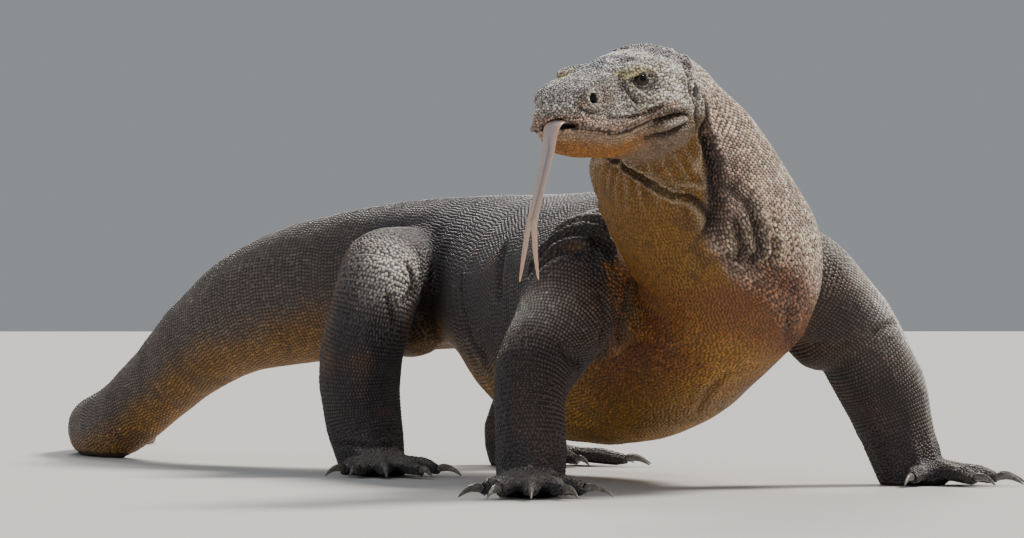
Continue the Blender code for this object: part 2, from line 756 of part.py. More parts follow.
def paint(made, name):
    """Gives a piece its own plain material."""
    kind = kind_of(name)
    material = bpy.data.materials.new(name)
    material.use_nodes = True
    shader = material.node_tree.nodes["Principled BSDF"]
    shader.inputs["Base Color"].default_value = (*COLOURS[kind], 1)
    shader.inputs["Roughness"].default_value = ROUGHNESS.get(kind, 0.6)
    made.data.materials.clear()
    made.data.materials.append(material)


def centre_on_floor(objects):
    """Moves everything so that the middle of its footprint is at the origin."""
    corners = [v.co for each in objects for v in each.data.vertices]
    middle = Vector((
        (min(c.x for c in corners) + max(c.x for c in corners)) / 2,
        (min(c.y for c in corners) + max(c.y for c in corners)) / 2,
        0,
    ))
    for each in objects:
        each.data.transform(Matrix.Translation(-middle))


def lighten(made, name):
    """Collapses a piece of flesh to its share of triangles, and keeps its soles exactly on the floor."""
    wanted = PIECE_TRIANGLES.get(name) or PIECE_TRIANGLES[name.rsplit("_", 1)[0]]
    tidy_mesh(made)
    collapse = made.modifiers.new("lighten", "DECIMATE")
    collapse.ratio = min(1.0, wanted / len(made.data.polygons))
    apply_modifiers(made)
    for vertex in made.data.vertices:
        if vertex.co.z < FLOOR_REACH:
            vertex.co.z = 0


def tidy_mesh(made):
    """Triangulates a piece and drops the slivers that cuts leave behind."""
    work = bmesh.new()
    work.from_mesh(made.data)
    bmesh.ops.remove_doubles(work, verts=work.verts, dist=2e-5)
    bmesh.ops.triangulate(work, faces=work.faces)
    bmesh.ops.dissolve_degenerate(work, dist=2e-5, edges=work.edges)
    bmesh.ops.triangulate(work, faces=work.faces)
    work.to_mesh(made.data)
    work.free()


def main():
    for each in list(bpy.data.objects):
        bpy.data.objects.remove(each)
    pieces = parted_flesh()
    for name, made in pieces.items():
        lighten(made, name)
    pieces.update(face_details(pieces["head"]))
    pieces["tongue"] = tongue()
    for foot, flesh in (
        ("front_right", "hand_right"),
        ("front_left", "hand_left"),
        ("hind_right", "foot_right"),
        ("hind_left", "foot_left"),
    ):
        pieces.update(claws(foot, pieces[flesh]))
    for name, made in pieces.items():
        made.name = name
        tidy_mesh(made)
        paint(made, name)
    centre_on_floor(pieces.values())


main()
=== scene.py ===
"""Looks of the komodo dragon: one skin over its flesh, a coat of separate scales, eyes, claws and tongue.

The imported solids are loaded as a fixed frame. Their flesh is fused into one skin, rounded, creased by named
folds and drawn in by the coat's depth. Scales are laid on it in rings along the spine and the legs, and fill
the head, the feet and the hollows between. Skin and scales take their colours from one set of formulas.
"""

import math

import bmesh
import bpy
import numpy as np
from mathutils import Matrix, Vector
from mathutils.bvhtree import BVHTree
from mathutils.kdtree import KDTree


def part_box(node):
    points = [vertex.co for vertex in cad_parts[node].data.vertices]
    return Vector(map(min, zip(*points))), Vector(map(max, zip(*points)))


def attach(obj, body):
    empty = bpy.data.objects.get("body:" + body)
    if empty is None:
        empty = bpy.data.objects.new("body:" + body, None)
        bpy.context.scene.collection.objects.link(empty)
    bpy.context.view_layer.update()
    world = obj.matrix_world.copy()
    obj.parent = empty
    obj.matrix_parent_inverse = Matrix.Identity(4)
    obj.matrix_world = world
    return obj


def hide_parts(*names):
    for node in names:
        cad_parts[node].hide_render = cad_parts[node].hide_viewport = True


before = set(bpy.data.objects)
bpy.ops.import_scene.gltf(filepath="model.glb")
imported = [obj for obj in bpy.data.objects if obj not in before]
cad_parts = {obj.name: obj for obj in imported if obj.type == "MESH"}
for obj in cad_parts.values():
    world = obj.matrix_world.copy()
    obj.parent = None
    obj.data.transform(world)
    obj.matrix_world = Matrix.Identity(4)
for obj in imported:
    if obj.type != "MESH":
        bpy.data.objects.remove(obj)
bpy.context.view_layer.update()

RANDOM = np.random.default_rng(7)

# ---------------------------------------------------------------- the frame's flesh and its guiding lines

SPINE_NODES = ["neck", "chest", "abdomen", "pelvis", "tail_base", "tail_middle", "tail_rear", "tail_tip"]
LIMBS = {
    "arm_right": ["upper_arm_right", "forearm_right"],
    "arm_left": ["upper_arm_left", "forearm_left"],
    "leg_right": ["thigh_right", "shank_right"],
    "leg_left": ["thigh_left", "shank_left"],
}
# Headings of the feet, in degrees from straight ahead towards the animal's right.
FEET = {"hand_right": 18, "hand_left": -44, "foot_right": 14, "foot_left": -60}
FLESH = ["head", "lower_jaw"] + SPINE_NODES + [n for names in LIMBS.values() for n in names] + list(FEET)

# How far the solids' facets are rounded away, and the share of that on each family of nodes.
ROUNDING = 0.013
ROUNDING_SHARE = {
    "head": 0.05, "lower_jaw": 0.10, "neck": 0.9, "chest": 0.9, "abdomen": 1.0, "pelvis": 0.8,
    "tail_base": 0.7, "tail_middle": 0.5, "tail_rear": 0.3, "tail_tip": 0.10,
    "upper_arm": 0.45, "forearm": 0.40, "thigh": 0.5, "shank": 0.45, "hand": 0.05, "foot": 0.05,
}
# Length, width and height of a scale on each family of nodes. The skin is drawn in by that height and a gap.
COAT_GAP = 0.0003
SCALE_SIZE = {
    "head": (0.0032, 0.0029, 0.0011), "lower_jaw": (0.0034, 0.0030, 0.0007),
    "neck": (0.0055, 0.0037, 0.0013),
    "chest": (0.0057, 0.0045, 0.0012), "abdomen": (0.0062, 0.0049, 0.0012),
    "pelvis": (0.0060, 0.0046, 0.0012),
    "tail_base": (0.0058, 0.0045, 0.0012), "tail_middle": (0.0058, 0.0044, 0.0012),
    "tail_rear": (0.0056, 0.0040, 0.0011), "tail_tip": (0.0047, 0.0032, 0.0009),
    "upper_arm": (0.0050, 0.0039, 0.0012), "forearm": (0.0046, 0.0036, 0.0010),
    "thigh": (0.0053, 0.0042, 0.0012), "shank": (0.0048, 0.0038, 0.0011),
    "hand": (0.0036, 0.0031, 0.0008), "foot": (0.0038, 0.0032, 0.0008),
}

# Lines in millimetres from the point of the spine over the front feet. PLACE moves them to the frame.
SPINE = [
    (-131, -186, 400), (-108, -160, 376), (-81, -134, 342), (-50, -110, 300), (-20, -82, 262),
    (-2, -40, 232), (0, 30, 214), (1, 140, 204), (5, 270, 196), (10, 400, 203), (6, 530, 222),
    (-17, 640, 237), (-60, 730, 236), (-108, 812, 230), (-165, 905, 214), (-210, 1001, 188),
    (-240, 1095, 148), (-266, 1190, 96), (-292, 1290, 53), (-297, 1400, 40), (-272, 1520, 34),
    (-222, 1640, 28), (-160, 1755, 22), (-100, 1865, 16), (-52, 1970, 12), (-28, 2050, 9),
]
LIMB_LINES = {
    "arm_right": [
        (-60, 20, 235), (-112, 12, 238), (-160, -18, 205), (-195, -50, 165), (-228, -78, 130),
        (-243, -98, 95), (-246, -108, 58), (-248, -114, 26), (-250, -118, 3),
    ],
    "arm_left": [
        (60, 20, 222), (105, 16, 222), (145, 24, 200), (182, 32, 172), (205, 36, 140), (228, 38, 100),
        (240, 36, 65), (252, 32, 28), (258, 28, 3),
    ],
    "leg_right": [
        (-50, 680, 226), (-100, 655, 228), (-150, 600, 232), (-180, 545, 230), (-196, 540, 185),
        (-204, 553, 130), (-200, 558, 75), (-194, 550, 30), (-193, 545, 3),
    ],
    "leg_left": [
        (20, 660, 228), (52, 672, 226), (120, 672, 215), (170, 680, 190), (160, 718, 145), (125, 770, 98),
        (98, 808, 58), (89, 810, 30), (93, 806, 3),
    ],
}
FOOT_CENTRES = {
    "hand_right": (-255, -130), "hand_left": (264, 22), "foot_right": (-192, 520), "foot_left": (106, 792),
}

# The head's frame, as in the solids: forward, left and up from between the jaw joints. In it, the places of
# the left eye, nostril and ear.
HEAD_ORIGIN = Vector((-0.131, -0.186, 0.405))
HEAD_TURN = math.radians(55)
HEAD_PITCH = math.radians(-9)
HEAD_ROLL = math.radians(1)
EYE_AT = (0.104, 0.0382, 0.0285)
EYE_OUTWARD = (0.28, 0.93, 0.20)
EYE_RADIUS = 0.0088
NOSTRIL_AT = (0.179, 0.0305, 0.0195)
# Distance of the nostril's rim from its middle, and the rim's half width.
NOSTRIL_RIM = (0.0086, 0.0026)
EAR_AT = (0.036, 0.0640, 0.010)
# Half length of the eye's opening and its half heights above and below, then how much it rises forward.
EYE_OPENING = (0.0080, 0.0064, 0.0062)
EYE_SLANT = 0.18
LID_THICKNESS = 0.0016
MOUTH_LINE = [
    (0.240, -0.006), (0.205, -0.007), (0.180, -0.012), (0.150, -0.0195), (0.126, -0.018), (0.103, -0.012),
    (0.080, -0.010), (0.062, -0.0105), (0.040, -0.014), (0.000, -0.022),
]


def mouth_height(forward):
    """Height of the line of the lips in the head's frame."""
    return np.interp(forward, *np.array(MOUTH_LINE)[::-1].T)


def head_directions():
    """The head's forward, left and up."""
    flat = Vector((-math.sin(HEAD_TURN), -math.cos(HEAD_TURN), 0))
    upright = Vector((0, 0, 1))
    forward = flat * math.cos(HEAD_PITCH) + upright * math.sin(HEAD_PITCH)
    level_left = upright.cross(flat)
    level_up = forward.cross(level_left)
    left = level_left * math.cos(HEAD_ROLL) + level_up * math.sin(HEAD_ROLL)
    return forward, left, forward.cross(left)


HEAD_AXES = np.array(head_directions())
EYE_MIDDLE = (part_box("eye_left")[0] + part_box("eye_left")[1]) / 2
PLACE = np.array(EYE_MIDDLE) - np.array(HEAD_ORIGIN) - np.array(EYE_AT) @ HEAD_AXES
HEAD_PLACE = np.array(HEAD_ORIGIN) + PLACE


def metres(rows):
    """Rows written in millimetres, in metres."""
    return np.array(rows) / 1000


def in_head(points):
    """Points as forward, left and up in the head's frame."""
    return (points - HEAD_PLACE) @ HEAD_AXES.T


def from_head(points):
    """Points of the head's frame, back in the scene."""
    return np.asarray(points) @ HEAD_AXES + HEAD_PLACE


def mirrored(head):
    """Points in the head's frame, with those of its right half moved to the left half."""
    return np.where([False, True, False], np.abs(head), head)


def eye_axes():
    """Outward, forward and upward directions of the left eye in the head's frame."""
    out = np.array(EYE_OUTWARD)
    out /= np.linalg.norm(out)
    ahead = np.array([1.0, 0.0, 0.0]) - out[0] * out
    ahead /= np.linalg.norm(ahead)
    above = np.cross(ahead, out)
    return np.array([out, ahead, above * np.sign(above[2])])


EYE_AXES = eye_axes()


def eye_ring(head):
    """Rings about the eye's almond opening, 1 at its edge, for points of the left half of the head."""
    ahead, above = (head - EYE_AT) @ EYE_AXES[1], (head - EYE_AT) @ EYE_AXES[2]
    above = above - EYE_SLANT * ahead
    half = np.where(above > 0, EYE_OPENING[1], EYE_OPENING[2])
    return np.hypot(ahead / EYE_OPENING[0], above / half)


def family(node):
    """A node's name without its side."""
    return node.replace("_right", "").replace("_left", "")


def numbers_of(nodes):
    """The numbers in FLESH of these nodes or families of nodes."""
    return [number for number, node in enumerate(FLESH) if node in nodes or family(node) in nodes]


# ---------------------------------------------------------------- small mathematics


def smoothstep(low, high, value):
    """Soft step from 0 at low to 1 at high."""
    t = np.clip((value - low) / (high - low), 0, 1)
    return t * t * (3 - 2 * t)


def bell(value, middle, width):
    """1 at the middle, falling off within about a width."""
    return np.exp(-(((value - middle) / width) ** 2))


def normalised(vectors):
    """Each row at length one."""
    return vectors / np.maximum(np.linalg.norm(vectors, axis=-1, keepdims=True), 1e-12)


def curve_through(rows, step):
    """A Catmull-Rom curve through rows, at even steps: its points, directions and lengths along it."""
    rows = np.array(rows, float)
    ends = np.vstack([2 * rows[0] - rows[1], rows, 2 * rows[-1] - rows[-2]])
    t = np.linspace(0, 1, 30, endpoint=False)[:, None]
    dense = []
    for a, b, c, d in zip(ends, ends[1:], ends[2:], ends[3:]):
        dense.append(
            0.5 * (2 * b + (c - a) * t + (2 * a - 5 * b + 4 * c - d) * t**2 + (3 * b - a - 3 * c + d) * t**3)
        )
    dense = np.vstack(dense + [rows[-1:]])
    reach = np.r_[0, np.cumsum(np.linalg.norm(np.diff(dense, axis=0), axis=1))]
    even = np.arange(0, reach[-1], step)
    points = np.stack([np.interp(even, reach, dense[:, k]) for k in range(3)], axis=1)
    return points, normalised(np.gradient(points, axis=0)), even


def tree_of(points):
    """A tree that finds the nearest of these points."""
    tree = KDTree(len(points))
    for number, point in enumerate(points.tolist()):
        tree.insert(point, number)
    tree.balance()
    return tree


def value_noise(points, scale, seed):
    """Smooth noise from -1 to 1 with blobs about as large as scale."""
    grid = points / scale + seed * 17.31
    cell = np.floor(grid).astype(np.int64)
    part = grid - cell
    part = part * part * (3 - 2 * part)
    total = np.zeros(len(points))
    for corner in range(8):
        step = np.array([corner & 1, corner >> 1 & 1, corner >> 2 & 1])
        weight = np.prod(np.where(step, part, 1 - part), axis=1)
        x, y, z = ((cell + step) * np.array([374761393, 668265263, 2147483647])).T
        mixed = (x ^ y ^ z) * 1274126177 & 0x7FFFFFFF
        mixed = (mixed ^ mixed >> 13) * 1103515245 & 0x7FFFFFFF
        total += weight * (mixed / 0x3FFFFFFF - 1)
    return total


# ---------------------------------------------------------------- mesh making


def linked(name, data):
    """A new object with this data, in the scene."""
    made = bpy.data.objects.new(name, data)
    bpy.context.scene.collection.objects.link(made)
    return made


def mesh_from(work, name):
    """A mesh with what the editing mesh holds, which is freed."""
    mesh = bpy.data.meshes.new(name)
    work.to_mesh(mesh)
    work.free()
    return mesh


def mesh_object(name, points, faces):
    """An object of triangles, smoothly shaded."""
    mesh = bpy.data.meshes.new(name)
    mesh.vertices.add(len(points))
    mesh.vertices.foreach_set("co", np.asarray(points, np.float32).ravel())
    mesh.loops.add(len(faces) * 3)
    mesh.loops.foreach_set("vertex_index", np.asarray(faces, np.int32).ravel())
    mesh.polygons.add(len(faces))
    mesh.polygons.foreach_set("loop_start", np.arange(0, len(faces) * 3, 3, dtype=np.int32))
    mesh.update(calc_edges=True)
    shade_smoothly(mesh)
    return linked(name, mesh)


def shade_smoothly(mesh):
    """Shades every face of a mesh smoothly."""
    mesh.polygons.foreach_set("use_smooth", np.ones(len(mesh.polygons), bool))
    mesh.update()


def rows_of(items, field, width, kind):
    """One field of a mesh's vertices, edges or triangles, as rows of this width."""
    out = np.empty(len(items) * width, kind)
    items.foreach_get(field, out)
    return out.reshape(-1, width)


def points_of(mesh):
    """A mesh's vertices as an array."""
    return rows_of(mesh.vertices, "co", 3, np.float32).astype(float)


def triangles_of(mesh):
    """A mesh's triangles as an array of vertex numbers."""
    mesh.calc_loop_triangles()
    return rows_of(mesh.loop_triangles, "vertices", 3, np.int32)


def edges_of(mesh):
    """A mesh's edges as an array of vertex numbers."""
    return rows_of(mesh.edges, "vertices", 2, np.int32)


def move_points(mesh, points):
    """Puts a mesh's vertices at these points."""
    mesh.vertices.foreach_set("co", points.astype(np.float32).ravel())
    mesh.update()


def normals_of(points, faces):
    """Vertex normals, weighted by area."""
    a, b, c = (points[faces[:, k]] for k in range(3))
    across = np.cross(b - a, c - a)
    total = np.zeros_like(points)
    for k in range(3):
        for axis in range(3):
            total[:, axis] += np.bincount(faces[:, k], across[:, axis], len(points))
    return normalised(total)


def paint_points(mesh, colours):
    """Writes one colour for each vertex as the attribute "tint"."""
    layer = mesh.color_attributes.new("tint", "FLOAT_COLOR", "POINT")
    rgba = np.ones((len(colours), 4), np.float32)
    rgba[:, :3] = colours
    layer.data.foreach_set("color", rgba.ravel())


def set_material(made, material):
    """Gives an object this material alone."""
    made.data.materials.clear()
    made.data.materials.append(material)


def applied(made, name, kind, **settings):
    """Adds one modifier, applies it and gives the object back."""
    modifier = made.modifiers.new(name, kind)
    for key, value in settings.items():
        setattr(modifier, key, value)
    result = bpy.data.meshes.new_from_object(made.evaluated_get(bpy.context.evaluated_depsgraph_get()))
    old = made.data
    made.modifiers.clear()
    made.data = result
    bpy.data.meshes.remove(old)
    return made


def welded_copy(nodes, name):
    """One object holding copies of these CAD nodes, with shared corners joined."""
    work = bmesh.new()
    for node in nodes:
        work.from_mesh(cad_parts[node].data)
    bmesh.ops.remove_doubles(work, verts=work.verts, dist=1e-6)
    return linked(name, mesh_from(work, name))


# ---------------------------------------------------------------- guides along the body


class Guide:
    """A line down the middle of a limb or of the spine, with a side and an upward direction at every step."""

    STEP = 0.008
    BATCH = 20000

    def __init__(self, rows, upright=(0, 0, 1)):
        self.points, self.along, self.reach = curve_through(rows, self.STEP)
        self.side = normalised(np.cross(self.along, np.array(upright, float)))
        self.above = np.cross(self.side, self.along)

    def locate(self, points):
        """For each point: its step on the line, its length along it, and its angle from the side to above."""
        nearest = np.empty(len(points), int)
        for start in range(0, len(points), self.BATCH):
            part = slice(start, start + self.BATCH)
            nearest[part] = ((points[part, None, :] - self.points[None]) ** 2).sum(2).argmin(1)
        away = points - self.points[nearest]
        reach = self.reach[nearest] + (away * self.along[nearest]).sum(1)
        angle = np.arctan2((away * self.above[nearest]).sum(1), (away * self.side[nearest]).sum(1))
        return nearest, reach, angle

    def at(self, reach):
        """The line's point, its side and its upward direction at this length along it."""
        steps = np.arange(len(self.reach))
        step = np.interp(reach, self.reach, steps)
        tables = (self.points, self.side, self.above)
        return [np.array([np.interp(step, steps, table[:, k]) for k in range(3)]) for table in tables]


def foot_line(foot):
    """Straight line through a foot from its heel to its toes."""
    heading = math.radians(FEET[foot])
    forward = np.array([-math.sin(heading), -math.cos(heading), 0])
    centre = metres([*FOOT_CENTRES[foot], 16]) + PLACE
    return [centre + forward * reach for reach in (-0.08, -0.03, 0.03, 0.09, 0.15)]


GUIDES = {"spine": Guide(metres(SPINE) + PLACE)}
for limb, rows in LIMB_LINES.items():
    GUIDES[limb] = Guide(metres(rows) + PLACE, (0, 1, 0))
for foot in FEET:
    GUIDES[foot] = Guide(foot_line(foot))
GUIDES["head"] = Guide(from_head([(u, 0, 0.004) for u in (0.25, 0.16, 0.08, 0.0, -0.05)]))

GUIDE_OF = {"head": "head", "lower_jaw": "head"}
GUIDE_OF.update({node: "spine" for node in SPINE_NODES})
GUIDE_OF.update({node: limb for limb, nodes in LIMBS.items() for node in nodes})
GUIDE_OF.update({foot: foot for foot in FEET})

# The middle of the throat is turned towards the animal's right, by this much along the neck.
THROAT_TURN = ([0.0, 0.09, 0.20], [-0.55, -0.35, 0.0])


def round_spine(points):
    """Reach along the spine, angle round it from straight down, and angle from the middle of the throat."""
    reach, angle = GUIDES["spine"].locate(points)[1:]
    signed = (angle + 1.5 * math.pi) % (2 * math.pi) - math.pi
    return reach, np.abs(signed), np.abs(signed - np.interp(reach, *THROAT_TURN))


class Places:
    """Where points lie on the body: node, guide, length along it, angle round it and the lie of scales."""

    def __init__(self, points, normals, owner, soft, felt):
        self.points, self.normals = points, normals
        self.owner, self.soft = owner, soft
        self.ridge, self.groove = felt.T
        self.reach = np.zeros(len(points))
        self.angle = np.zeros(len(points))
        self.lie = np.zeros_like(points)
        self.guide = np.array([GUIDE_OF[node] for node in FLESH])[owner]
        for name, guide in GUIDES.items():
            here = self.guide == name
            if not here.any():
                continue
            nearest, self.reach[here], self.angle[here] = guide.locate(points[here])
            self.lie[here] = guide.along[nearest]
            if name in FEET:
                fan = points[here] - guide.points[0]
                self.lie[here] = fan * np.array([1, 1, 0.3])
        self.lie = normalised(self.lie - (self.lie * normals).sum(1, keepdims=True) * normals)
        self.head = in_head(points)
        self.half_head = mirrored(self.head)
        self.spine_reach, self.swing, self.from_throat = round_spine(points)

    def take(self, chosen):
        """The same for some of the points."""
        part = Places.__new__(Places)
        for key, value in self.__dict__.items():
            setattr(part, key, value[chosen])
        return part

    def on(self, *nodes):
        """How much each point belongs to these nodes or families of nodes, softly over the borders."""
        return np.clip(self.soft[:, numbers_of(nodes)].sum(1), 0, 1)

    def owned(self, *nodes):
        """Which points lie on these nodes or families of nodes."""
        return np.isin(self.owner, numbers_of(nodes))

    def within(self, place, radius):
        """How near each point is to a place of the unmoved lines: 1 there, falling off over radius."""
        gap = np.linalg.norm(self.points - PLACE - np.array(place), axis=1)
        return np.exp(-((gap / radius) ** 2))


# ---------------------------------------------------------------- folds

# Folds as lines over the skin: half width, depth (below zero for a ridge) and points in millimetres as above.
# Those of the neck are felt by their reach and breadth round it, the same on both sides.
NECK_FOLDS = {
    "jaw_edge": (0.0044, 0.0066, [
        (-118, -215, 462), (-133, -236, 447), (-139, -267, 420), (-130, -263, 400), (-123, -253, 378),
        (-120, -239, 362),
    ]),
    "strand": (0.0034, -0.0044, [
        (-121, -256, 410), (-118, -252, 388), (-111, -239, 372), (-110, -234, 355), (-114, -232, 342),
        (-115, -228, 325),
    ]),
    "cross_fold": (0.0034, -0.0044, [(-134, -218, 315), (-117, -226, 317), (-99, -228, 314)]),
    "gular_upper": (0.0028, -0.0030, [
        (-183, -178, 343), (-174, -186, 339), (-162, -199, 334), (-147, -211, 320), (-135, -216, 311),
        (-118, -223, 309),
    ]),
    "gular_groove": (0.0022, 0.0036, [
        (-182, -179, 339), (-173, -187, 335), (-158, -199, 327), (-143, -210, 313), (-132, -217, 305),
        (-117, -222, 303), (-103, -220, 297), (-95, -216, 284), (-94, -212, 268),
    ]),
    "gular_lower": (0.0030, -0.0040, [
        (-180, -178, 334), (-171, -186, 330), (-157, -200, 320), (-143, -209, 306), (-131, -215, 299),
        (-117, -220, 298), (-106, -219, 290), (-100, -216, 278), (-98, -212, 264),
    ]),
    "neck_groove": (0.0056, 0.0105, [
        (-119, -251, 410), (-115, -246, 392), (-110, -238, 372), (-103, -232, 352), (-96, -228, 332),
        (-92, -223, 308), (-90, -214, 280), (-86, -200, 252),
    ]),
    "neck_edge": (0.0048, 0.0050, [(-88, -231, 322), (-72, -227, 312), (-57, -223, 304), (-46, -219, 296)]),
    "base_fold_a": (0.0042, -0.0060, [
        (-39, -217, 295), (-30, -209, 275), (-24, -201, 257), (-23, -193, 238),
    ]),
    "base_fold_b": (0.0040, -0.0054, [(-55, -218, 290), (-48, -211, 270), (-39, -200, 246)]),
    "base_fold_c": (0.0040, -0.0050, [(-14, -204, 280), (-4, -194, 257), (-2, -184, 234)]),
    "base_fold_d": (0.0038, -0.0040, [(-70, -220, 282), (-66, -212, 262), (-58, -202, 240)]),
    "base_groove": (0.0038, 0.0042, [(-50, -222, 305), (-42, -211, 280), (-30, -200, 256), (-29, -188, 226)]),
    "base_groove_b": (0.0030, 0.0028, [(-66, -221, 284), (-55, -210, 262), (-49, -199, 238)]),
    "base_groove_c": (0.0026, 0.0022, [(-18, -206, 268), (-12, -197, 250), (-16, -188, 232)]),
}
# The folds of trunk and legs, each in its one place.
FOLDS = {
    "shoulder_groove_left": (0.0070, 0.0050, [
        (-86, -191, 239), (-58, -199, 244), (-26, -192, 238), (10, -173, 222), (50, -120, 205),
    ]),
    "armpit_right": (0.0070, 0.0080, [
        (-112, -70, 228), (-115, -54, 201), (-121, -51, 175), (-111, -39, 150),
    ]),
    "armpit_right_outer": (0.0050, 0.0040, [(-158, -75, 212), (-150, -77, 182), (-157, -77, 154)]),
    "armpit_left": (0.0060, 0.0060, [(29, -151, 201), (43, -116, 170), (80, -60, 150)]),
    "elbow_left": (0.0045, 0.0040, [(183, -19, 165), (203, -15, 172), (227, 4, 179)]),
    "elbow_right": (0.0045, 0.0048, [(-213, -107, 161), (-207, -112, 143), (-184, -96, 134)]),
    "belly": (0.0050, 0.0024, [(-4, -70, 130), (-3, -11, 107), (21, 83, 76)]),
    "flank": (0.0060, 0.0072, [
        (-128, 418, 240), (-131, 404, 223), (-137, 375, 186), (-135, 348, 151), (-131, 313, 134),
    ]),
    "flank_bank": (0.0070, -0.0036, [(-122, 440, 222), (-128, 410, 185), (-126, 372, 150)]),
    "groin": (0.0060, 0.0050, [(-140, 518, 221), (-112, 569, 187), (-94, 591, 156)]),
    "flank_front": (0.0070, 0.0045, [(-119, 294, 271), (-137, 265, 237), (-146, 250, 200)]),
    "knee_right_outer": (0.0040, 0.0052, [(-193, 489, 214), (-186, 491, 193), (-181, 495, 172)]),
    "knee_right_middle": (0.0040, 0.0046, [(-167, 503, 250), (-158, 502, 224), (-173, 494, 196)]),
    "knee_right_inner": (0.0040, 0.0044, [(-140, 536, 268), (-141, 516, 236), (-160, 501, 202)]),
    "shoulder_right": (0.0050, 0.0040, [(-152, -50, 285), (-146, -40, 262), (-158, -58, 235)]),
    "ankle_right": (0.0035, 0.0030, [(-240, 546, 36), (-208, 506, 34), (-170, 512, 37)]),
}
# The neck's folds are felt within this reach of the middle of its front.
FRONT_MIDDLE = (-0.060, -0.150, 0.330)
FRONT_REACH = 0.24
# By this radius, angles round the neck become lengths.
NECK_RADIUS = 0.070
# A fold is felt up to this many half widths from its line, and fades over this share of its length at an end.
FOLD_REACH = 4
FOLD_FADE = 0.15
# Height of the bank on either side of a fold, as a share of the fold's depth.
BANK = 0.35
# The folds on both sides of the head, in metres forward and up in the head's frame.
HEAD_FOLDS = {
    "brow": (0.0042, -0.0044, [
        (0.1300, 0.0365), (0.1230, 0.0395), (0.1140, 0.0403), (0.1030, 0.0390), (0.0910, 0.0355),
    ]),
    "lower_lid": (0.0020, -0.0030, [
        (0.1240, 0.0312), (0.1203, 0.0262), (0.1160, 0.0190), (0.1095, 0.0128), (0.1030, 0.0118),
    ]),
    "lid_hollow": (0.0030, 0.0042, [(0.1285, 0.0300), (0.1275, 0.0210), (0.1225, 0.0120), (0.1140, 0.0065)]),
    "eye_rear": (0.0018, 0.0014, [(0.0985, 0.0390), (0.0915, 0.0310), (0.0925, 0.0215), (0.0985, 0.0155)]),
    "temple": (0.0040, 0.0016, [(0.0780, 0.0420), (0.0830, 0.0330), (0.0850, 0.0220), (0.0860, 0.0120)]),
    "snout_crease": (0.0018, 0.0015, [
        (0.2002, 0.0158), (0.1939, 0.0099), (0.1839, 0.0060), (0.1741, 0.0034),
    ]),
    "lip_crease": (0.0022, 0.0022, [
        (0.1740, 0.0010), (0.1580, -0.0026), (0.1440, -0.0042), (0.1246, -0.0052), (0.1099, -0.0042),
        (0.0960, -0.0008), (0.0830, 0.0020),
    ]),
    "flap_top": (0.0034, 0.0056, [
        (0.1020, -0.0185), (0.0950, -0.0140), (0.0860, -0.0108), (0.0745, -0.0094), (0.0634, -0.0094),
        (0.0530, -0.0120),
    ]),
    "flap": (0.0036, -0.0032, [(0.0915, -0.0222), (0.0829, -0.0182), (0.0720, -0.0160), (0.0600, -0.0162)]),
    "flap_low": (0.0028, 0.0036, [
        (0.1060, -0.0285), (0.0948, -0.0272), (0.0839, -0.0258), (0.0681, -0.0228), (0.0530, -0.0190),
    ]),
    "skull_ridge": (0.0050, -0.0020, [
        (0.0631, 0.0338), (0.0560, 0.0192), (0.0470, 0.0032), (0.0400, -0.0095), (0.0360, -0.0219),
    ]),
}


def wrapped(points):
    """Reach along the spine and breadth round it from the middle of the throat, the same on both sides."""
    reach, _, from_throat = round_spine(points)
    return np.stack([reach, from_throat * NECK_RADIUS, np.zeros(len(points))], axis=1)


class Fold:
    """One fold, which tells where it is felt."""

    def __init__(self, width, depth, rows, kind):
        self.width, self.depth, self.kind = width, depth, kind
        self.line = curve_through(rows, 0.001)[0]
        self.tree = tree_of(self.line)

    def gaps(self, seen):
        """Which points are near, how far they are from the line, and how much of the fold is left there."""
        reach = FOLD_REACH * self.width
        low, high = self.line.min(0) - reach, self.line.max(0) + reach
        index = np.flatnonzero(np.all((seen > low) & (seen < high), axis=1))
        found = [self.tree.find(point)[1:] for point in seen[index].tolist()]
        step, gap = np.array(found, float).reshape(-1, 2).T
        share = step / len(self.line)
        meets_other_side = self.kind == "neck" and self.line[0, 1] < 0.3 * NECK_RADIUS
        start = 1.0 if meets_other_side else smoothstep(0, FOLD_FADE, share)
        return index, gap, start * smoothstep(0, FOLD_FADE, 1 - share)


CREASES = []
for width, depth, rows in FOLDS.values():
    CREASES.append(Fold(width, depth, metres(rows) + PLACE, "body"))
for width, depth, rows in HEAD_FOLDS.values():
    CREASES.append(Fold(width, depth, [(forward, 0, up) for forward, up in rows], "head"))
for width, depth, rows in NECK_FOLDS.values():
    CREASES.append(Fold(width, depth, wrapped(metres(rows) + PLACE), "neck"))


def felt_folds(points, normals, on_head):
    """How far the folds lift the skin, how much of a ridge and of a groove is there, and the finest width."""
    front = np.flatnonzero(np.linalg.norm(points - PLACE - FRONT_MIDDLE, axis=1) < FRONT_REACH)
    round_neck = np.full((len(points), 3), 9.0)
    round_neck[front] = wrapped(points[front])
    seen = {"body": points, "head": in_head(points) * [1, 0, 1], "neck": round_neck}
    side = on_head * smoothstep(0.10, 0.45, np.abs(normals @ HEAD_AXES[1]))
    lift, ridge, groove = np.zeros((3, len(points)))
    finest = np.full(len(points), 1.0)
    for fold in CREASES:
        index, gap, left = fold.gaps(seen[fold.kind])
        if fold.kind == "head":
            left = left * side[index]
        profile = bell(gap, 0, fold.width) - BANK * bell(gap, 2 * fold.width, fold.width)
        lift[index] -= fold.depth * left * profile
        field = ridge if fold.depth < 0 else groove
        felt = smoothstep(0.2, 1.3, abs(fold.depth) / fold.width) * left * bell(gap, 0, 1.25 * fold.width)
        field[index] = np.maximum(field[index], felt)
        near = index[(gap < 2.6 * fold.width) & (left > 0)]
        finest[near] = np.minimum(finest[near], fold.width)
    return lift, ridge, groove, finest


# ---------------------------------------------------------------- the skin

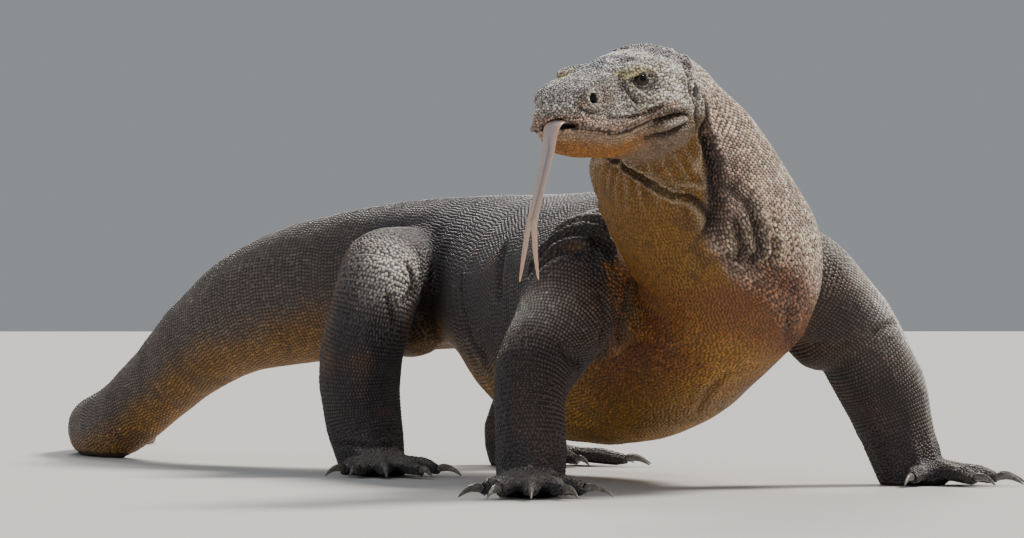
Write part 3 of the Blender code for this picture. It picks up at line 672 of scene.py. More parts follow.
# Share of the gap between the lips that is closed beside the tongue.
MOUTH_CLOSING = 0.60
# Whatever of the drawn in skin lies lower than this is pressed flat onto the floor.
SOLE_RISE = 0.0016
# The flesh is fused in voxels of this edge, and the skin thinned out to about this many triangles.
SKIN_VOXEL = 0.0022
SKIN_TRIANGLES = 96000
# How strongly thinning out spares keen places, and how keen each family of nodes is.
KEEN_FACTOR = 3e-6
KEENNESS = {"head": 1.0, "lower_jaw": 0.8, "hand": 0.5, "foot": 0.5, "neck": 0.4}
# Spacing of the skin's points near a fold, as a share of its half width, and near eyes, nostrils and lips.
FOLD_SPACING = 0.55
EYE_SPACING = 0.0010
NOSTRIL_SPACING = 0.0014
LIP_SPACING = 0.0017
HEAD_SPACING = 0.0030
# Points with a finer spacing than this are evened out.
EVEN_SPACING = 0.0029
# Where the base of the neck is knobbly, in metres from the same point as the lines.
NECK_KNOBS = (-0.035, -0.205, 0.262)


class Skin:
    """The fused, rounded and folded skin, with what the coat needs to know about every point of it."""

    def __init__(self):
        self.object = welded_copy(FLESH + ["eye_left", "eye_right"], "skin")
        applied(self.object, "fuse", "REMESH", mode="VOXEL", voxel_size=SKIN_VOXEL)
        self.read()
        self.round_facets()
        self.draw_in()
        self.thin_out()
        self.refine()
        self.crease()
        self.stand()
        self.shape_head()
        self.soft = self.softened(np.eye(len(FLESH))[self.owner], 0.8, 24)
        self.normals = normals_of(self.points, self.faces)
        self.felt = np.stack(felt_folds(self.points, self.normals, self.on_head())[1:3], axis=1)

    def places(self):
        """Where the skin's own points lie."""
        return Places(self.points, self.normals, self.owner, self.soft, self.felt)

    def places_at(self, points, faces):
        """Where other points on these faces of the skin lie."""
        corners = self.faces[faces]
        normals = normalised(self.normals[corners].mean(1))
        soft, felt = self.soft[corners].mean(1), self.felt[corners].mean(1)
        return Places(points, normals, self.owner[corners[:, 0]], soft, felt)

    def read(self):
        """Takes the object's mesh into arrays."""
        mesh = self.object.data
        self.points, self.faces, self.edges = points_of(mesh), triangles_of(mesh), edges_of(mesh)
        self.owner = self.nearest_nodes()

    def write(self):
        """Puts the moved points back into the object's mesh."""
        move_points(self.object.data, self.points)

    def nearest_nodes(self):
        """The number in FLESH of the CAD node nearest to each vertex."""
        corners, triangles, owners = [], [], []
        start = 0
        for number, node in enumerate(FLESH):
            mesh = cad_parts[node].data
            corners.append(points_of(mesh))
            found = triangles_of(mesh)
            triangles.append(found + start)
            owners.append(np.full(len(found), number))
            start += len(mesh.vertices)
        tree = BVHTree.FromPolygons(np.vstack(corners).tolist(), np.vstack(triangles).tolist())
        owners = np.concatenate(owners)
        return owners[[tree.find_nearest(point)[2] for point in self.points.tolist()]]

    def softened(self, values, share, rounds):
        """Values averaged with their neighbours again and again, by one share or one for each point."""
        a, b = self.edges.T
        count = len(self.points)
        neighbours = np.bincount(a, minlength=count) + np.bincount(b, minlength=count)
        columns = [values[:, k].copy() for k in range(values.shape[1])]
        for _ in range(rounds):
            for k, column in enumerate(columns):
                total = np.bincount(a, column[b], count) + np.bincount(b, column[a], count)
                columns[k] = column + share * (total / neighbours - column)
        return np.stack(columns, axis=1)

    def by_node(self, table, rounds=30):
        """A value looked up for each node's family, softened over the borders."""
        values = np.array([table[family(node)] for node in FLESH], float)
        return self.softened(values[self.owner][:, None], 0.8, rounds)[:, 0]

    def on_head(self):
        """Which points lie on the head or the jaw."""
        return np.isin(self.owner, numbers_of(["head", "lower_jaw"]))

    def round_facets(self):
        """Smooths the solids' facets away and puts back what this took from the broad shape."""
        share = 0.8 * self.by_node({node: value**2 for node, value in ROUNDING_SHARE.items()})
        rounds = int(2.5 * (ROUNDING / SKIN_VOXEL) ** 2)
        once = self.softened(self.points, share, rounds)
        self.points = once + self.softened(self.points - once, share, rounds)

    def draw_in(self):
        """Moves the skin inwards by the coat's depth."""
        depth = self.by_node({node: size[2] + COAT_GAP for node, size in SCALE_SIZE.items()})
        self.points -= normals_of(self.points, self.faces) * depth[:, None]
        self.write()

    def thin_out(self):
        """Collapses the even mesh where the skin is plain, and keeps more of it on the head and the feet."""
        keen = self.object.vertex_groups.new(name="keen")
        families = np.array([family(node) for node in FLESH])[self.owner]
        for name, weight in KEENNESS.items():
            keen.add(np.flatnonzero(families == name).tolist(), weight, "REPLACE")
        applied(
            self.object, "thin", "DECIMATE", ratio=SKIN_TRIANGLES / len(self.faces), vertex_group="keen",
            invert_vertex_group=True, vertex_group_factor=KEEN_FACTOR,
        )
        self.object.vertex_groups.clear()
        self.read()

    def spacing(self):
        """How near to each other the skin's points should be, so that folds, eyes and lips come out clean."""
        on_head = self.on_head()
        finest = felt_folds(self.points, normals_of(self.points, self.faces), on_head)[3]
        wanted = np.where(on_head, HEAD_SPACING, 1.0)
        wanted = np.minimum(wanted, np.where(finest < 1, FOLD_SPACING * finest, 1.0))
        head = mirrored(in_head(self.points))
        gap = np.abs(head[:, 2] - mouth_height(head[:, 0]))
        lips = on_head & (gap < 0.010) & (head[:, 0] > 0.03)
        wanted[lips] = np.minimum(wanted[lips], LIP_SPACING)
        for place, reach, fine in ((EYE_AT, 0.017, EYE_SPACING), (NOSTRIL_AT, 0.012, NOSTRIL_SPACING)):
            near = np.linalg.norm(head - place, axis=1) < reach
            wanted[near] = np.minimum(wanted[near], fine)
        return wanted

    def refine(self):
        """Splits long edges until the points are as near to each other as wanted, then evens them out."""
        for _ in range(3):
            wanted = self.spacing()
            a, b = self.edges.T
            length = np.linalg.norm(self.points[a] - self.points[b], axis=1)
            long = np.flatnonzero(length > 1.5 * np.minimum(wanted[a], wanted[b]))
            work = bmesh.new()
            work.from_mesh(self.object.data)
            work.edges.ensure_lookup_table()
            bmesh.ops.subdivide_edges(work, edges=[work.edges[k] for k in long], cuts=1)
            bmesh.ops.triangulate(work, faces=[face for face in work.faces if len(face.verts) > 3])
            work.to_mesh(self.object.data)
            work.free()
            self.read()
            smooth = 0.5 * (self.spacing() < EVEN_SPACING)[:, None]
            once = self.points + smooth * (self.softened(self.points, 1.0, 1) - self.points)
            self.points = once - 0.9 * smooth * (self.softened(once, 1.0, 1) - once)
            self.write()

    def crease(self):
        """Presses the folds into the skin, with low banks beside them, and adds soft pleats and lumps."""
        normals = normals_of(self.points, self.faces)
        lift = felt_folds(self.points, normals, self.on_head())[0]
        hard = np.eye(len(FLESH))[self.owner]
        places = Places(self.points, normals, self.owner, hard, np.zeros((len(normals), 2)))
        throat = places.on("neck", "lower_jaw") * smoothstep(1.3, 0.6, places.from_throat)
        warp = value_noise(self.points, 0.030, 1)
        lift += 0.0006 * throat * np.sin(places.swing * 34 + 4 * warp)
        lift += 0.0024 * places.within(NECK_KNOBS, 0.045) * value_noise(self.points, 0.009, 2)
        body = places.on(*SPINE_NODES, "upper_arm", "forearm", "thigh", "shank")
        broad, fine = value_noise(self.points, 0.040, 3), value_noise(self.points, 0.014, 4)
        lift += body * (0.0010 * broad + 0.0005 * fine)
        lift *= smoothstep(0.0005, 0.012, self.points[:, 2])
        self.points += normals * self.softened(lift[:, None], 0.5, 1)
        self.write()

    def stand(self):
        """Presses the soles and whatever of the tail rests on the floor flat onto it."""
        self.points[self.points[:, 2] < SOLE_RISE, 2] = 0

    def shape_head(self):
        """Opens the eyelids, rolls the lips, draws their line and lifts the nostrils' rims."""
        head = in_head(self.points)
        directions = normals_of(self.points, self.faces)
        along = smoothstep(0.030, 0.060, head[:, 0]) * smoothstep(0.218, 0.200, head[:, 0])
        side = smoothstep(0.3, 0.7, np.abs(directions @ HEAD_AXES[1]))
        gap = head[:, 2] - mouth_height(head[:, 0])
        closing = self.on_head() * smoothstep(0.150, 0.175, head[:, 0]) * bell(gap, 0, 0.010)
        self.points = self.points - (MOUTH_CLOSING * closing * gap)[:, None] * HEAD_AXES[2]
        line, above, below = bell(gap, 0, 0.0018), bell(gap, 0.0062, 0.0046), bell(gap, -0.0050, 0.0030)
        lips = self.on_head() * along * side * (-0.0032 * line + 0.0022 * above - 0.0012 * below)
        away = np.linalg.norm(mirrored(head) - NOSTRIL_AT, axis=1)
        rims = self.on_head() * 0.0028 * bell(away, *NOSTRIL_RIM)
        self.points += directions * (lips + rims)[:, None]
        self.open_eye(1)
        self.open_eye(-1)
        self.write()

    def open_eye(self, sign):
        """Parts the lids of one eye along an almond outline and rests their rims on the eyeball."""
        head = in_head(self.points) * [1, sign, 1]
        away = head - EYE_AT
        gap = np.maximum(np.linalg.norm(away, axis=1), 1e-9)
        ring = eye_ring(head)
        opened = smoothstep(1.08, 0.96, ring)
        lid = smoothstep(1.9, 1.25, ring)
        outer = gap * (1 - lid) + (EYE_RADIUS + LID_THICKNESS) * lid
        wanted = opened * (EYE_RADIUS - 0.0016) + (1 - opened) * outer
        front = smoothstep(-0.0010, 0.0020, away @ EYE_AXES[0]) * (gap < 3 * EYE_RADIUS)
        moved = EYE_AT + away / gap[:, None] * (gap + front * (wanted - gap))[:, None]
        changed = front > 0
        self.points[changed] = from_head(moved * [1, sign, 1])[changed]


skin = Skin()

# ---------------------------------------------------------------- colours of skin and scales


def srgb(red, green, blue):
    """A colour given as 0 to 255 on screen, as light."""
    part = np.array([red, green, blue]) / 255
    return np.where(part <= 0.04045, part / 12.92, ((part + 0.055) / 1.055) ** 2.4)


DARK_HIDE = srgb(38, 32, 31)
BACK_SCALE = srgb(82, 78, 79)
# The flanks are darkened partly by painted shade, most on their lower side.
FLANK_SCALE = srgb(54, 48, 51)
FLANK_WARM = srgb(64, 49, 46)
FLANK_LOW_SHADE = srgb(52, 44, 42)
# The neck's upper rows are pale partly of their own and partly by painted sunlight; its dark is maroon, with
# painted shade in hollows and behind the throat.
NECK_PALE_LIT = srgb(204, 190, 170)
NECK_SIDE = srgb(200, 174, 154)
NECK_MAROON_AND_SHADE = srgb(84, 56, 50)
# Painted highlight for the ridges of folds, and painted shade for their grooves, creases and dark slits.
FOLD_HIGHLIGHT = srgb(176, 156, 128)
FOLD_SHADE = srgb(46, 34, 28)
THROAT = srgb(130, 90, 22)
THROAT_DEEP = srgb(98, 64, 16)
CHEST_RUST = srgb(114, 62, 18)
CHEST_OCHRE = srgb(138, 86, 24)
BELLY = srgb(156, 112, 36)
BELLY_LIT = srgb(186, 136, 48)
TAIL_UPPER = srgb(104, 96, 88)
TAIL_SIDE = srgb(92, 80, 72)
TAIL_LOWER = srgb(132, 92, 34)
# The legs' dark colour is partly painted shade; their pale colour is painted sunlight.
LIMB_SCALE = srgb(53, 47, 50)
LIMB_WARM = srgb(82, 58, 44)
LIMB_SUNLIT = srgb(220, 212, 200)
FOOT_SCALE = srgb(60, 55, 55)
HEAD_SCALE = srgb(180, 171, 160)
HEAD_PALE = srgb(236, 225, 208)
HEAD_BLUE = srgb(96, 100, 116)
HEAD_DARK = srgb(52, 47, 50)
CHEEK_WARM = srgb(176, 158, 138)
JOWL = srgb(126, 102, 80)
LIP = srgb(164, 136, 118)
LIP_SHADE = srgb(116, 92, 78)
CHIN = srgb(148, 94, 26)
BROW_YELLOW = srgb(228, 210, 124)
MOUTH_INSIDE = srgb(96, 52, 46)
TONGUE_TOP = srgb(160, 152, 156)
TONGUE_TIP = srgb(188, 164, 146)
TONGUE_EDGE = srgb(200, 160, 136)
TONGUE_FURROW_SHADE = srgb(110, 92, 92)

# How far round from the middle of the throat its edge lies, along the spine's guide.
THROAT_REACH = [-0.019, -0.005, 0.009, 0.028, 0.061, 0.092, 0.129, 0.200]
THROAT_EDGE = [1.63, 1.48, 1.33, 1.18, 0.97, 0.90, 0.72, 0.60]


# Hollows of the neck, dark with maroon colour and painted shade, and joints paled by painted sunlight, each
# with its radius, in metres like the knobs.
NECK_HOLLOWS = [
    ((-0.078, -0.222, 0.330), 0.024), ((-0.070, -0.212, 0.272), 0.030), ((-0.045, -0.200, 0.245), 0.026),
]
KNEES = [((-0.176, 0.500, 0.240), 0.040), ((0.176, 0.668, 0.205), 0.044)]
ELBOWS = [((0.215, 0.020, 0.190), 0.040), ((-0.215, -0.060, 0.180), 0.030)]


def layered(colour, *layers):
    """A colour, or a row of it for each place, with further colours laid over it in turn by their shares."""
    for other, share in layers:
        share = np.clip(share, 0, 1)[:, None]
        colour = colour * (1 - share) + np.asarray(other) * share
    return colour


def folded(colour, places, pale=FOLD_HIGHLIGHT):
    """Paints highlight on the ridges of folds and shade in their grooves."""
    return layered(
        colour,
        (pale, 0.75 * places.ridge * (1 - places.groove)),
        (FOLD_SHADE, 0.85 * places.groove),
    )


def throat_share(places):
    """1 on the throat, 0 behind its edge."""
    edge = np.interp(places.spine_reach, THROAT_REACH, THROAT_EDGE)
    return smoothstep(0.10, -0.08, places.from_throat - edge)


def trunk_colours(places, patch, speck):
    """Grey back, dark warm flanks darkened partly by painted shade, rusty chest and olive belly, with painted
    sunlight on the shoulders' tops and painted shade in the grooves of folds.
    """
    reach, swing = places.spine_reach, places.swing
    low = smoothstep(0.40, 0.05, places.normals[:, 2])
    front = smoothstep(0.52, 0.30, reach) * low
    under = low * smoothstep(1.35, 0.70, swing + 0.15 * patch) * (1 - 0.4 * smoothstep(0.45, 0.95, reach))
    return layered(
        FLANK_SCALE,
        (FLANK_WARM, smoothstep(0.1, 0.7, patch + 0.3 * speck)),
        # Painted shade on the lower flank.
        (FLANK_LOW_SHADE, 0.7 * bell(swing, 1.25, 0.35)),
        (BACK_SCALE, smoothstep(2.05, 2.75, swing + 0.15 * patch)),
        (BELLY, under),
        (BELLY_LIT, under * smoothstep(0.0, 0.8, speck + 0.5 * patch) * 0.7),
        (CHEST_RUST, front * smoothstep(1.22, 0.85, swing) * smoothstep(0.10, 0.70, swing + 0.25 * patch)),
        (CHEST_OCHRE, front * smoothstep(1.25, 0.8, swing) * smoothstep(-0.1, 0.7, speck) * 0.8),
        # Painted sunlight on the tops of the shoulders.
        (0.8 * NECK_PALE_LIT, 0.6 * (smoothstep(0.58, 0.18, reach) * smoothstep(1.2, 2.0, swing))),
        # Painted shade in the grooves of folds.
        (FOLD_SHADE, places.groove),
    )


def neck_colours(places, patch, speck):
    """Rows behind and above, paled partly by painted sunlight, ochre throat with painted highlight on its
    pleats, a strip of painted shadow behind its edge, maroon patches with painted shade where the skin is
    drawn in, and folds painted light on their ridges and dark in their grooves.
    """
    reach, swing = places.spine_reach, places.swing
    edge = np.interp(reach, THROAT_REACH, THROAT_EDGE)
    waves = np.sin(places.from_throat * 30 + 2 * patch)
    pleats = smoothstep(0.075, 0.030, reach) * smoothstep(0.3, 0.9, waves)
    throat = layered(
        THROAT,
        (THROAT_DEEP, smoothstep(0.0, 0.8, speck + 0.6 * patch)),
        # Painted highlight on the crests of the throat's pleats.
        (FOLD_HIGHLIGHT, 0.35 * pleats),
    )
    colour = layered(
        NECK_SIDE,
        # Upper rows paled partly by painted sunlight.
        (NECK_PALE_LIT, smoothstep(1.25, 2.35, swing + 0.2 * patch)),
        # Painted shadow in a strip behind the throat's edge.
        (NECK_MAROON_AND_SHADE, 0.9 * bell(places.from_throat - edge, 0.13, 0.13) * smoothstep(0.16, 0.05, reach)),
        # Maroon patches with painted shade in the neck's hollows.
        *[(NECK_MAROON_AND_SHADE, places.within(*hollow) * (0.85 + 0.3 * speck)) for hollow in NECK_HOLLOWS],
        (throat, throat_share(places)),
        (CHEST_RUST, smoothstep(0.150, 0.195, reach) * smoothstep(1.35, 0.95, swing) * 0.85),
        (BACK_SCALE, 0.8 * smoothstep(0.12, 0.30, reach) * smoothstep(1.2, 2.4, swing)),
    )
    return folded(colour, places)


def tail_colours(places, patch, speck):
    """Grey brown above and tan below, with faint dark bands towards the tip."""
    reach, swing = places.spine_reach, places.swing
    bands = smoothstep(1.2, 1.6, reach) * smoothstep(0.2, 0.8, np.sin(reach * 62 + 2 * patch))
    return layered(
        TAIL_SIDE,
        (TAIL_UPPER, smoothstep(1.9, 2.6, swing)),
        (0.5 * (FLANK_WARM + BACK_SCALE), 0.8 * smoothstep(1.45, 0.95, reach)),
        (TAIL_LOWER, smoothstep(1.50, 0.45, swing + 0.20 * patch)),
        (DARK_HIDE * 1.6, 0.30 * bands),
    )


def limb_colours(places, patch, speck):
    """Dark legs, partly by painted shade and more so on the arms, with painted sunlight over knees, elbows
    and whatever faces up and out, and painted shade in the grooves of folds.
    """
    normals = places.normals
    facing = smoothstep(0.1, 0.9, -normals[:, 1]) * places.on("upper_arm", "forearm")
    knees, elbows = (sum(places.within(*joint) for joint in joints) for joints in (KNEES, ELBOWS))
    outer = smoothstep(0.35, 1.0, normals[:, 0] + 0.5 * normals[:, 2])
    outer = places.on("upper_arm_left", "forearm_left") * outer
    # Painted sunlight on knees, elbows, the left arm's outer side and whatever faces up.
    sunlit_pale = knees + 0.6 * elbows + 0.60 * outer + 0.10 * smoothstep(0.4, 0.95, normals[:, 2])
    return layered(
        LIMB_SCALE,
        (LIMB_WARM, smoothstep(-0.2, 0.9, patch + 0.6 * facing)),
        # Painted shade darkening the arms, most on the forearms.
        (DARK_HIDE, 0.2 * places.on("upper_arm") + 0.6 * places.on("forearm")),
        (LIMB_SUNLIT, sunlit_pale),
        # Painted shade in the grooves of folds.
        (FOLD_SHADE, places.groove),
    )


def foot_colours(places, patch, speck):
    """Dark grey feet, a little paler on top by painted sunlight."""
    return layered(FOOT_SCALE, (LIMB_SUNLIT, 0.18 * smoothstep(0.3, 0.9, places.normals[:, 2] + 0.3 * speck)))


def head_colours(places, patch, speck):
    """Grey head, bluish on top, with warm lips and cheeks, a pale brow, a dark lid rim and painted shade
    about the eye, painted shade in the hollow before it and on the snout's side, and folds painted light on
    their ridges and dark in their grooves.
    """
    forward, aside, height = places.half_head.T
    gap = height - mouth_height(forward)
    crown = smoothstep(0.036, 0.050, height) * smoothstep(0.02, 0.06, forward)
    nostril = np.linalg.norm(places.half_head - NOSTRIL_AT, axis=1)
    cheek = bell(forward, 0.068, 0.026) * smoothstep(0.040, 0.028, height) * smoothstep(-0.012, 0.006, height)
    rear = bell(forward, 0.040 + 0.6 * np.maximum(height, 0), 0.012)
    lips = smoothstep(0.0155, 0.0115, gap) * smoothstep(0.055, 0.085, forward)
    streaks = 0.5 + 0.5 * np.sin(forward * 900 + 3 * speck)
    brow = np.exp(-(((forward - 0.112) / 0.018) ** 2) - ((height - 0.0375) / 0.0052) ** 2)
    outside = smoothstep(0.018, 0.028, aside)
    ring = np.hypot((forward - EYE_AT[0]) / 1.35, height - EYE_AT[2])
    chin = layered(
        JOWL,
        (CHIN, smoothstep(0.085, 0.125, forward)),
        (CHEEK_WARM * 0.8, 0.6 * smoothstep(-0.016, -0.006, gap) * smoothstep(0.05, 0.09, forward)),
    )
    colour = layered(
        HEAD_SCALE,
        (CHEEK_WARM, smoothstep(0.014, -0.004, height) * smoothstep(0.15, 0.09, forward)),
        (HEAD_BLUE, crown * (0.85 + 0.30 * patch)),
        (HEAD_PALE, 0.8 * crown * smoothstep(0.15, 0.60, -speck)),
        # Painted shade on the side of the snout, in bluish grey.
        (HEAD_BLUE, 0.45 * smoothstep(0.15, 0.19, forward) * smoothstep(0.010, 0.030, height)),
        (JOWL, 0.8 * smoothstep(0.135, 0.165, forward) * bell(height, 0.016, 0.012) * outside),
        (HEAD_PALE, 0.5 * bell(nostril, 0.0086, 0.0022)),
        (HEAD_DARK, 0.85 * smoothstep(0.15, 0.65, speck) * smoothstep(0.02, 0.04, height)),
        (HEAD_PALE, 0.95 * np.maximum(cheek, rear)),
        (LIP_SHADE, 0.5 * smoothstep(0.185, 0.215, forward) * smoothstep(0.018, 0.004, height)),
        (LIP, lips),
        (LIP_SHADE, lips * (0.25 * streaks + 0.5 * smoothstep(0.009, 0.003, gap))),
        (BROW_YELLOW, 1.2 * brow * smoothstep(0.024, 0.032, aside)),
        # Painted shade in the hollow before the eye.
        (HEAD_DARK, 0.85 * bell(forward, 0.131, 0.007) * bell(height, 0.024, 0.007) * outside),
        # Dark lid rim with painted shade round the eye.
        (HEAD_DARK, 0.85 * bell(ring, 0.0074, 0.0024) * smoothstep(0.022, 0.030, aside)),
        (chin, smoothstep(0.001, -0.002, gap) * smoothstep(-0.02, 0.02, forward)),
    )
    # Painted highlight on fold ridges and painted shade in their grooves.
    return folded(colour, places, 0.5 * (FOLD_HIGHLIGHT + HEAD_PALE))


# Who paints which nodes, from the places and their broad and fine patchiness.
PAINTERS = [
    (("head", "lower_jaw"), head_colours),
    (("neck",), neck_colours),
    (("chest", "abdomen", "pelvis"), trunk_colours),
    (("tail_base", "tail_middle", "tail_rear", "tail_tip"), tail_colours),
    (("upper_arm", "forearm", "thigh", "shank"), limb_colours),
    (("hand", "foot"), foot_colours),
]


def scale_colours(places):
    """Colour of the scales' tops at these places."""
    patch = value_noise(places.points, 0.030, 5)
    speck = value_noise(places.points, 0.008, 6)
    colour = sum(places.on(*nodes)[:, None] * painter(places, patch, speck) for nodes, painter in PAINTERS)
    return colour * (1 + 0.08 * patch + 0.14 * speck)[:, None]


def skin_colours(places):
    """Colour of the bare skin: the scales' colour, darkened, black in the nostrils and dark along the line of
    the lips as painted shade, and the mouth's dark red inside between the lips.
    """
    colour = scale_colours(places)
    forward, height = places.head[:, 0], places.head[:, 2]
    gap = height - mouth_height(forward)
    on_head = places.on("head", "lower_jaw")
    under = places.on("chest", "abdomen") * smoothstep(1.2, 0.8, places.swing)
    warm = places.on("neck", "lower_jaw") * throat_share(places) + under
    nostril = np.linalg.norm(np.abs(places.head) - NOSTRIL_AT, axis=1)
    level = np.abs(places.normals @ HEAD_AXES[2]) > 0.75
    inside = smoothstep(0.16, 0.19, forward) * bell(gap, 0, 0.006) * level
    return layered(
        colour * 0.32,
        (DARK_HIDE * 0.5, np.full(len(colour), 0.35)),
        (colour * 0.62, 0.9 * warm),
        # Painted shade, black, in the nostrils.
        (FOLD_SHADE * 0.1, smoothstep(0.0066, 0.0048, nostril) * places.on("head")),
        (MOUTH_INSIDE * 0.5, 0.8 * inside * on_head),
        # Painted shadow along the line of the lips, under the upper lip.
        (FOLD_SHADE * 0.4, 0.9 * (bell(gap, 0, 0.0012) * smoothstep(0.045, 0.065, forward) * on_head)),
    )


# ---------------------------------------------------------------- the coat of scales

# How near to each other scales may root, as a share of their mean size: on the lips, in rings and between.
LIP_LIMIT = 0.70
ROW_LIMIT = 0.60
FILL_LIMIT = 0.77
FILL_TRIES = 620000
# Edge of the cells in which neighbours are looked for.
CELL = 0.0054
# Mean distance to the six nearest scales, seen along one axis, as a share of a scale's size along it.
ROOM_SHARE = 0.667
# Rows of lip scales: height over the line of the lips, then the step along it.
LIP_ROWS = [(0.0036, 0.0031), (-0.0038, 0.0032), (0.0086, 0.0034)]
# Where the rows start, where they begin to turn round the snout, and the radius of that turn.
LIPS_FROM = 0.050
SNOUT_TURN_AT = 0.192
SNOUT_RADIUS = 0.024
# How far along an arm or leg its upper half reaches, and the families of its two halves.
ELBOW_REACH = 0.20
LIMB_HALVES = {"arm": ("upper_arm", "forearm"), "leg": ("thigh", "shank")}
# Directions of the rays that measure the outline of one ring.
RING_TURNS = np.linspace(0, 2 * math.pi, 73)


def scale_sizes(places):
    """Length, width and height of a scale at each place."""
    sizes = places.soft @ np.array([SCALE_SIZE[family(node)] for node in FLESH])
    throat = places.on("neck") * throat_share(places)
    reach, swing = places.spine_reach, places.swing
    chest = places.on("chest") * smoothstep(1.4, 0.9, swing) * smoothstep(0.52, 0.36, reach)
    belly = places.on("abdomen", "pelvis") * smoothstep(1.1, 0.6, swing)
    forward, height = places.half_head[:, 0], places.half_head[:, 2]
    on_head = places.on("head", "lower_jaw")
    eyes = np.linalg.norm(places.half_head - EYE_AT, axis=1)
    gap = np.abs(height - mouth_height(forward))
    lips = on_head * smoothstep(0.0066, 0.0050, gap) * smoothstep(0.045, 0.065, forward)
    toes = places.on("hand", "foot") * smoothstep(0.10, 0.16, places.reach)
    folds = places.on("neck") * np.maximum(places.ridge, places.groove)
    for share in (
        1 - 0.28 * throat,
        1 - 0.18 * chest,
        [1 + 0.10 * belly, 1 + 0.05 * belly, 1 - 0.3 * belly],
        1 - on_head * 0.42 * smoothstep(0.019, 0.011, eyes),
        1 - on_head * 0.12 * smoothstep(0.12, 0.19, forward),
        [1 + 0.05 * lips, 1 + 0.50 * lips, 1 + 0 * lips],
        (1 - 0.20 * toes) * (1 - 0.22 * folds),
    ):
        sizes = sizes * np.atleast_2d(share).T
    return sizes


class Roots:
    """Accepted places of scales, kept apart from each other with a grid of cells."""

    def __init__(self):
        self.cells = {}

    def add(self, points, spacing, limit):
        """Accepts, in turn, each point that no accepted one is too near; gives the accepted ones' numbers."""
        kept = []
        keys = np.floor(points / CELL).astype(int).tolist()
        radii = (limit * 0.5 * spacing).tolist()
        for number, (key, point, own) in enumerate(zip(keys, points.tolist(), radii)):
            if not self.crowded(key, point, own):
                self.cells.setdefault(tuple(key), []).append((*point, own))
                kept.append(number)
        return kept

    def crowded(self, key, point, own):
        """Whether an accepted point is nearer than the two spacings allow."""
        i, j, k = key
        x, y, z = point
        get = self.cells.get
        for a in (i, i - 1, i + 1):
            for b in (j, j - 1, j + 1):
                for c in (k, k - 1, k + 1):
                    for px, py, pz, other in get((a, b, c), ()):
                        if (px - x) ** 2 + (py - y) ** 2 + (pz - z) ** 2 < (own + other) ** 2:
                            return True
        return False


def node_limits():
    """How far along the spine each of its nodes ends."""
    limits = []
    for node in SPINE_NODES[:-1]:
        here = skin.points[skin.owner == FLESH.index(node)]
        limits.append(np.percentile(GUIDES["spine"].locate(here[::7])[1], 97))
    return limits


SPINE_LIMITS = node_limits()


def local_size(name, reach):
    """Length and width of the scales on a guide at this length along it."""
    halves = LIMB_HALVES.get(name.split("_")[0])
    if halves:
        node = halves[0] if reach < ELBOW_REACH else halves[1]
    else:
        node = SPINE_NODES[int(np.searchsorted(SPINE_LIMITS, reach))]
    return SCALE_SIZE[node][0] * 0.97, SCALE_SIZE[node][1]


def split_hits(found):
    """The points hit and the numbers of the faces hit."""
    return np.array([row[:3] for row in found]), np.array([row[3] for row in found], int)


def ray_out(tree, place, turn):
    """What the ray from a guide's place, turned from its side towards up, meets of the skin."""
    middle, side, above = place
    return tree.ray_cast(Vector(middle), Vector(side * math.cos(turn) + above * math.sin(turn)))


def ring_candidates(tree):
    """Places in rings across the spine and the legs, evenly spaced round each ring."""
    found = []
    for name in ("spine", *LIMBS):
        guide = GUIDES[name]
        nodes = [node for node, owner in GUIDE_OF.items() if owner == name]
        rows = 0
        reach = 0.0
        while reach < guide.reach[-1]:
            middle, side, above = place = guide.at(reach)
            length, width = local_size(name, reach)
            hits = [ray_out(tree, place, turn) for turn in RING_TURNS]
            far = [hit[3] if hit[0] is not None else 0.0 for hit in hits]
            ring = middle + np.outer(np.cos(RING_TURNS) * far, side)
            ring = ring + np.outer(np.sin(RING_TURNS) * far, above)
            along = np.r_[0, np.cumsum(np.linalg.norm(np.diff(ring, axis=0), axis=1))]
            count = max(6, int(round(along[-1] / width)))
            start = (0.5 if rows % 2 else 0.0) + 0.12 * RANDOM.normal()
            even = (np.arange(count) + start) % count / count * along[-1]
            for turn in np.interp(even, along, RING_TURNS):
                hit = ray_out(tree, place, turn)
                if hit[0] is not None and FLESH[skin.owner[skin.faces[hit[2], 0]]] in nodes:
                    found.append((*hit[0], hit[2]))
            reach += length
            rows += 1
    return split_hits(found)


def lip_candidates(tree):
    """Places in rows along both lips, round the snout's tip too."""
    found = []
    for rise, step in LIP_ROWS:
        for sign in (1, -1):
            rays = [(forward, 0, sign) for forward in np.arange(LIPS_FROM, SNOUT_TURN_AT, step)]
            for turn in np.arange(0, math.pi / 2, step / SNOUT_RADIUS):
                rays.append((SNOUT_TURN_AT, math.sin(turn), sign * math.cos(turn)))
            for forward, ahead, aside in rays:
                at = from_head([(forward, 0, mouth_height(forward) + rise)])[0]
                hit = tree.ray_cast(Vector(at), Vector(np.array([ahead, aside, 0]) @ HEAD_AXES))
                if hit[0] is not None and in_head(np.array([hit[0]]))[0, 0] < 0.25:
                    found.append((*hit[0], hit[2]))
    return split_hits(found)


def random_candidates(count):
    """Points spread over the skin, the more of them the smaller the scales are there."""
    a, b, c = (skin.points[skin.faces[:, k]] for k in range(3))
    area = np.linalg.norm(np.cross(b - a, c - a), axis=1)
    families = [family(node) for node in FLESH]
    crowding = np.array([1 / (SCALE_SIZE[name][0] * SCALE_SIZE[name][1]) for name in families])
    crowding *= [1.0 if name in ("head", "lower_jaw", "hand", "foot") else 0.45 for name in families]
    shares = area * crowding[skin.owner[skin.faces[:, 0]]]
    faces = RANDOM.choice(len(area), count, p=shares / shares.sum())
    one, two = RANDOM.random((2, count))
    flip = one + two > 1
    one, two = np.where(flip, 1 - one, one), np.where(flip, 1 - two, two)
    return a[faces] + one[:, None] * (b - a)[faces] + two[:, None] * (c - a)[faces], faces


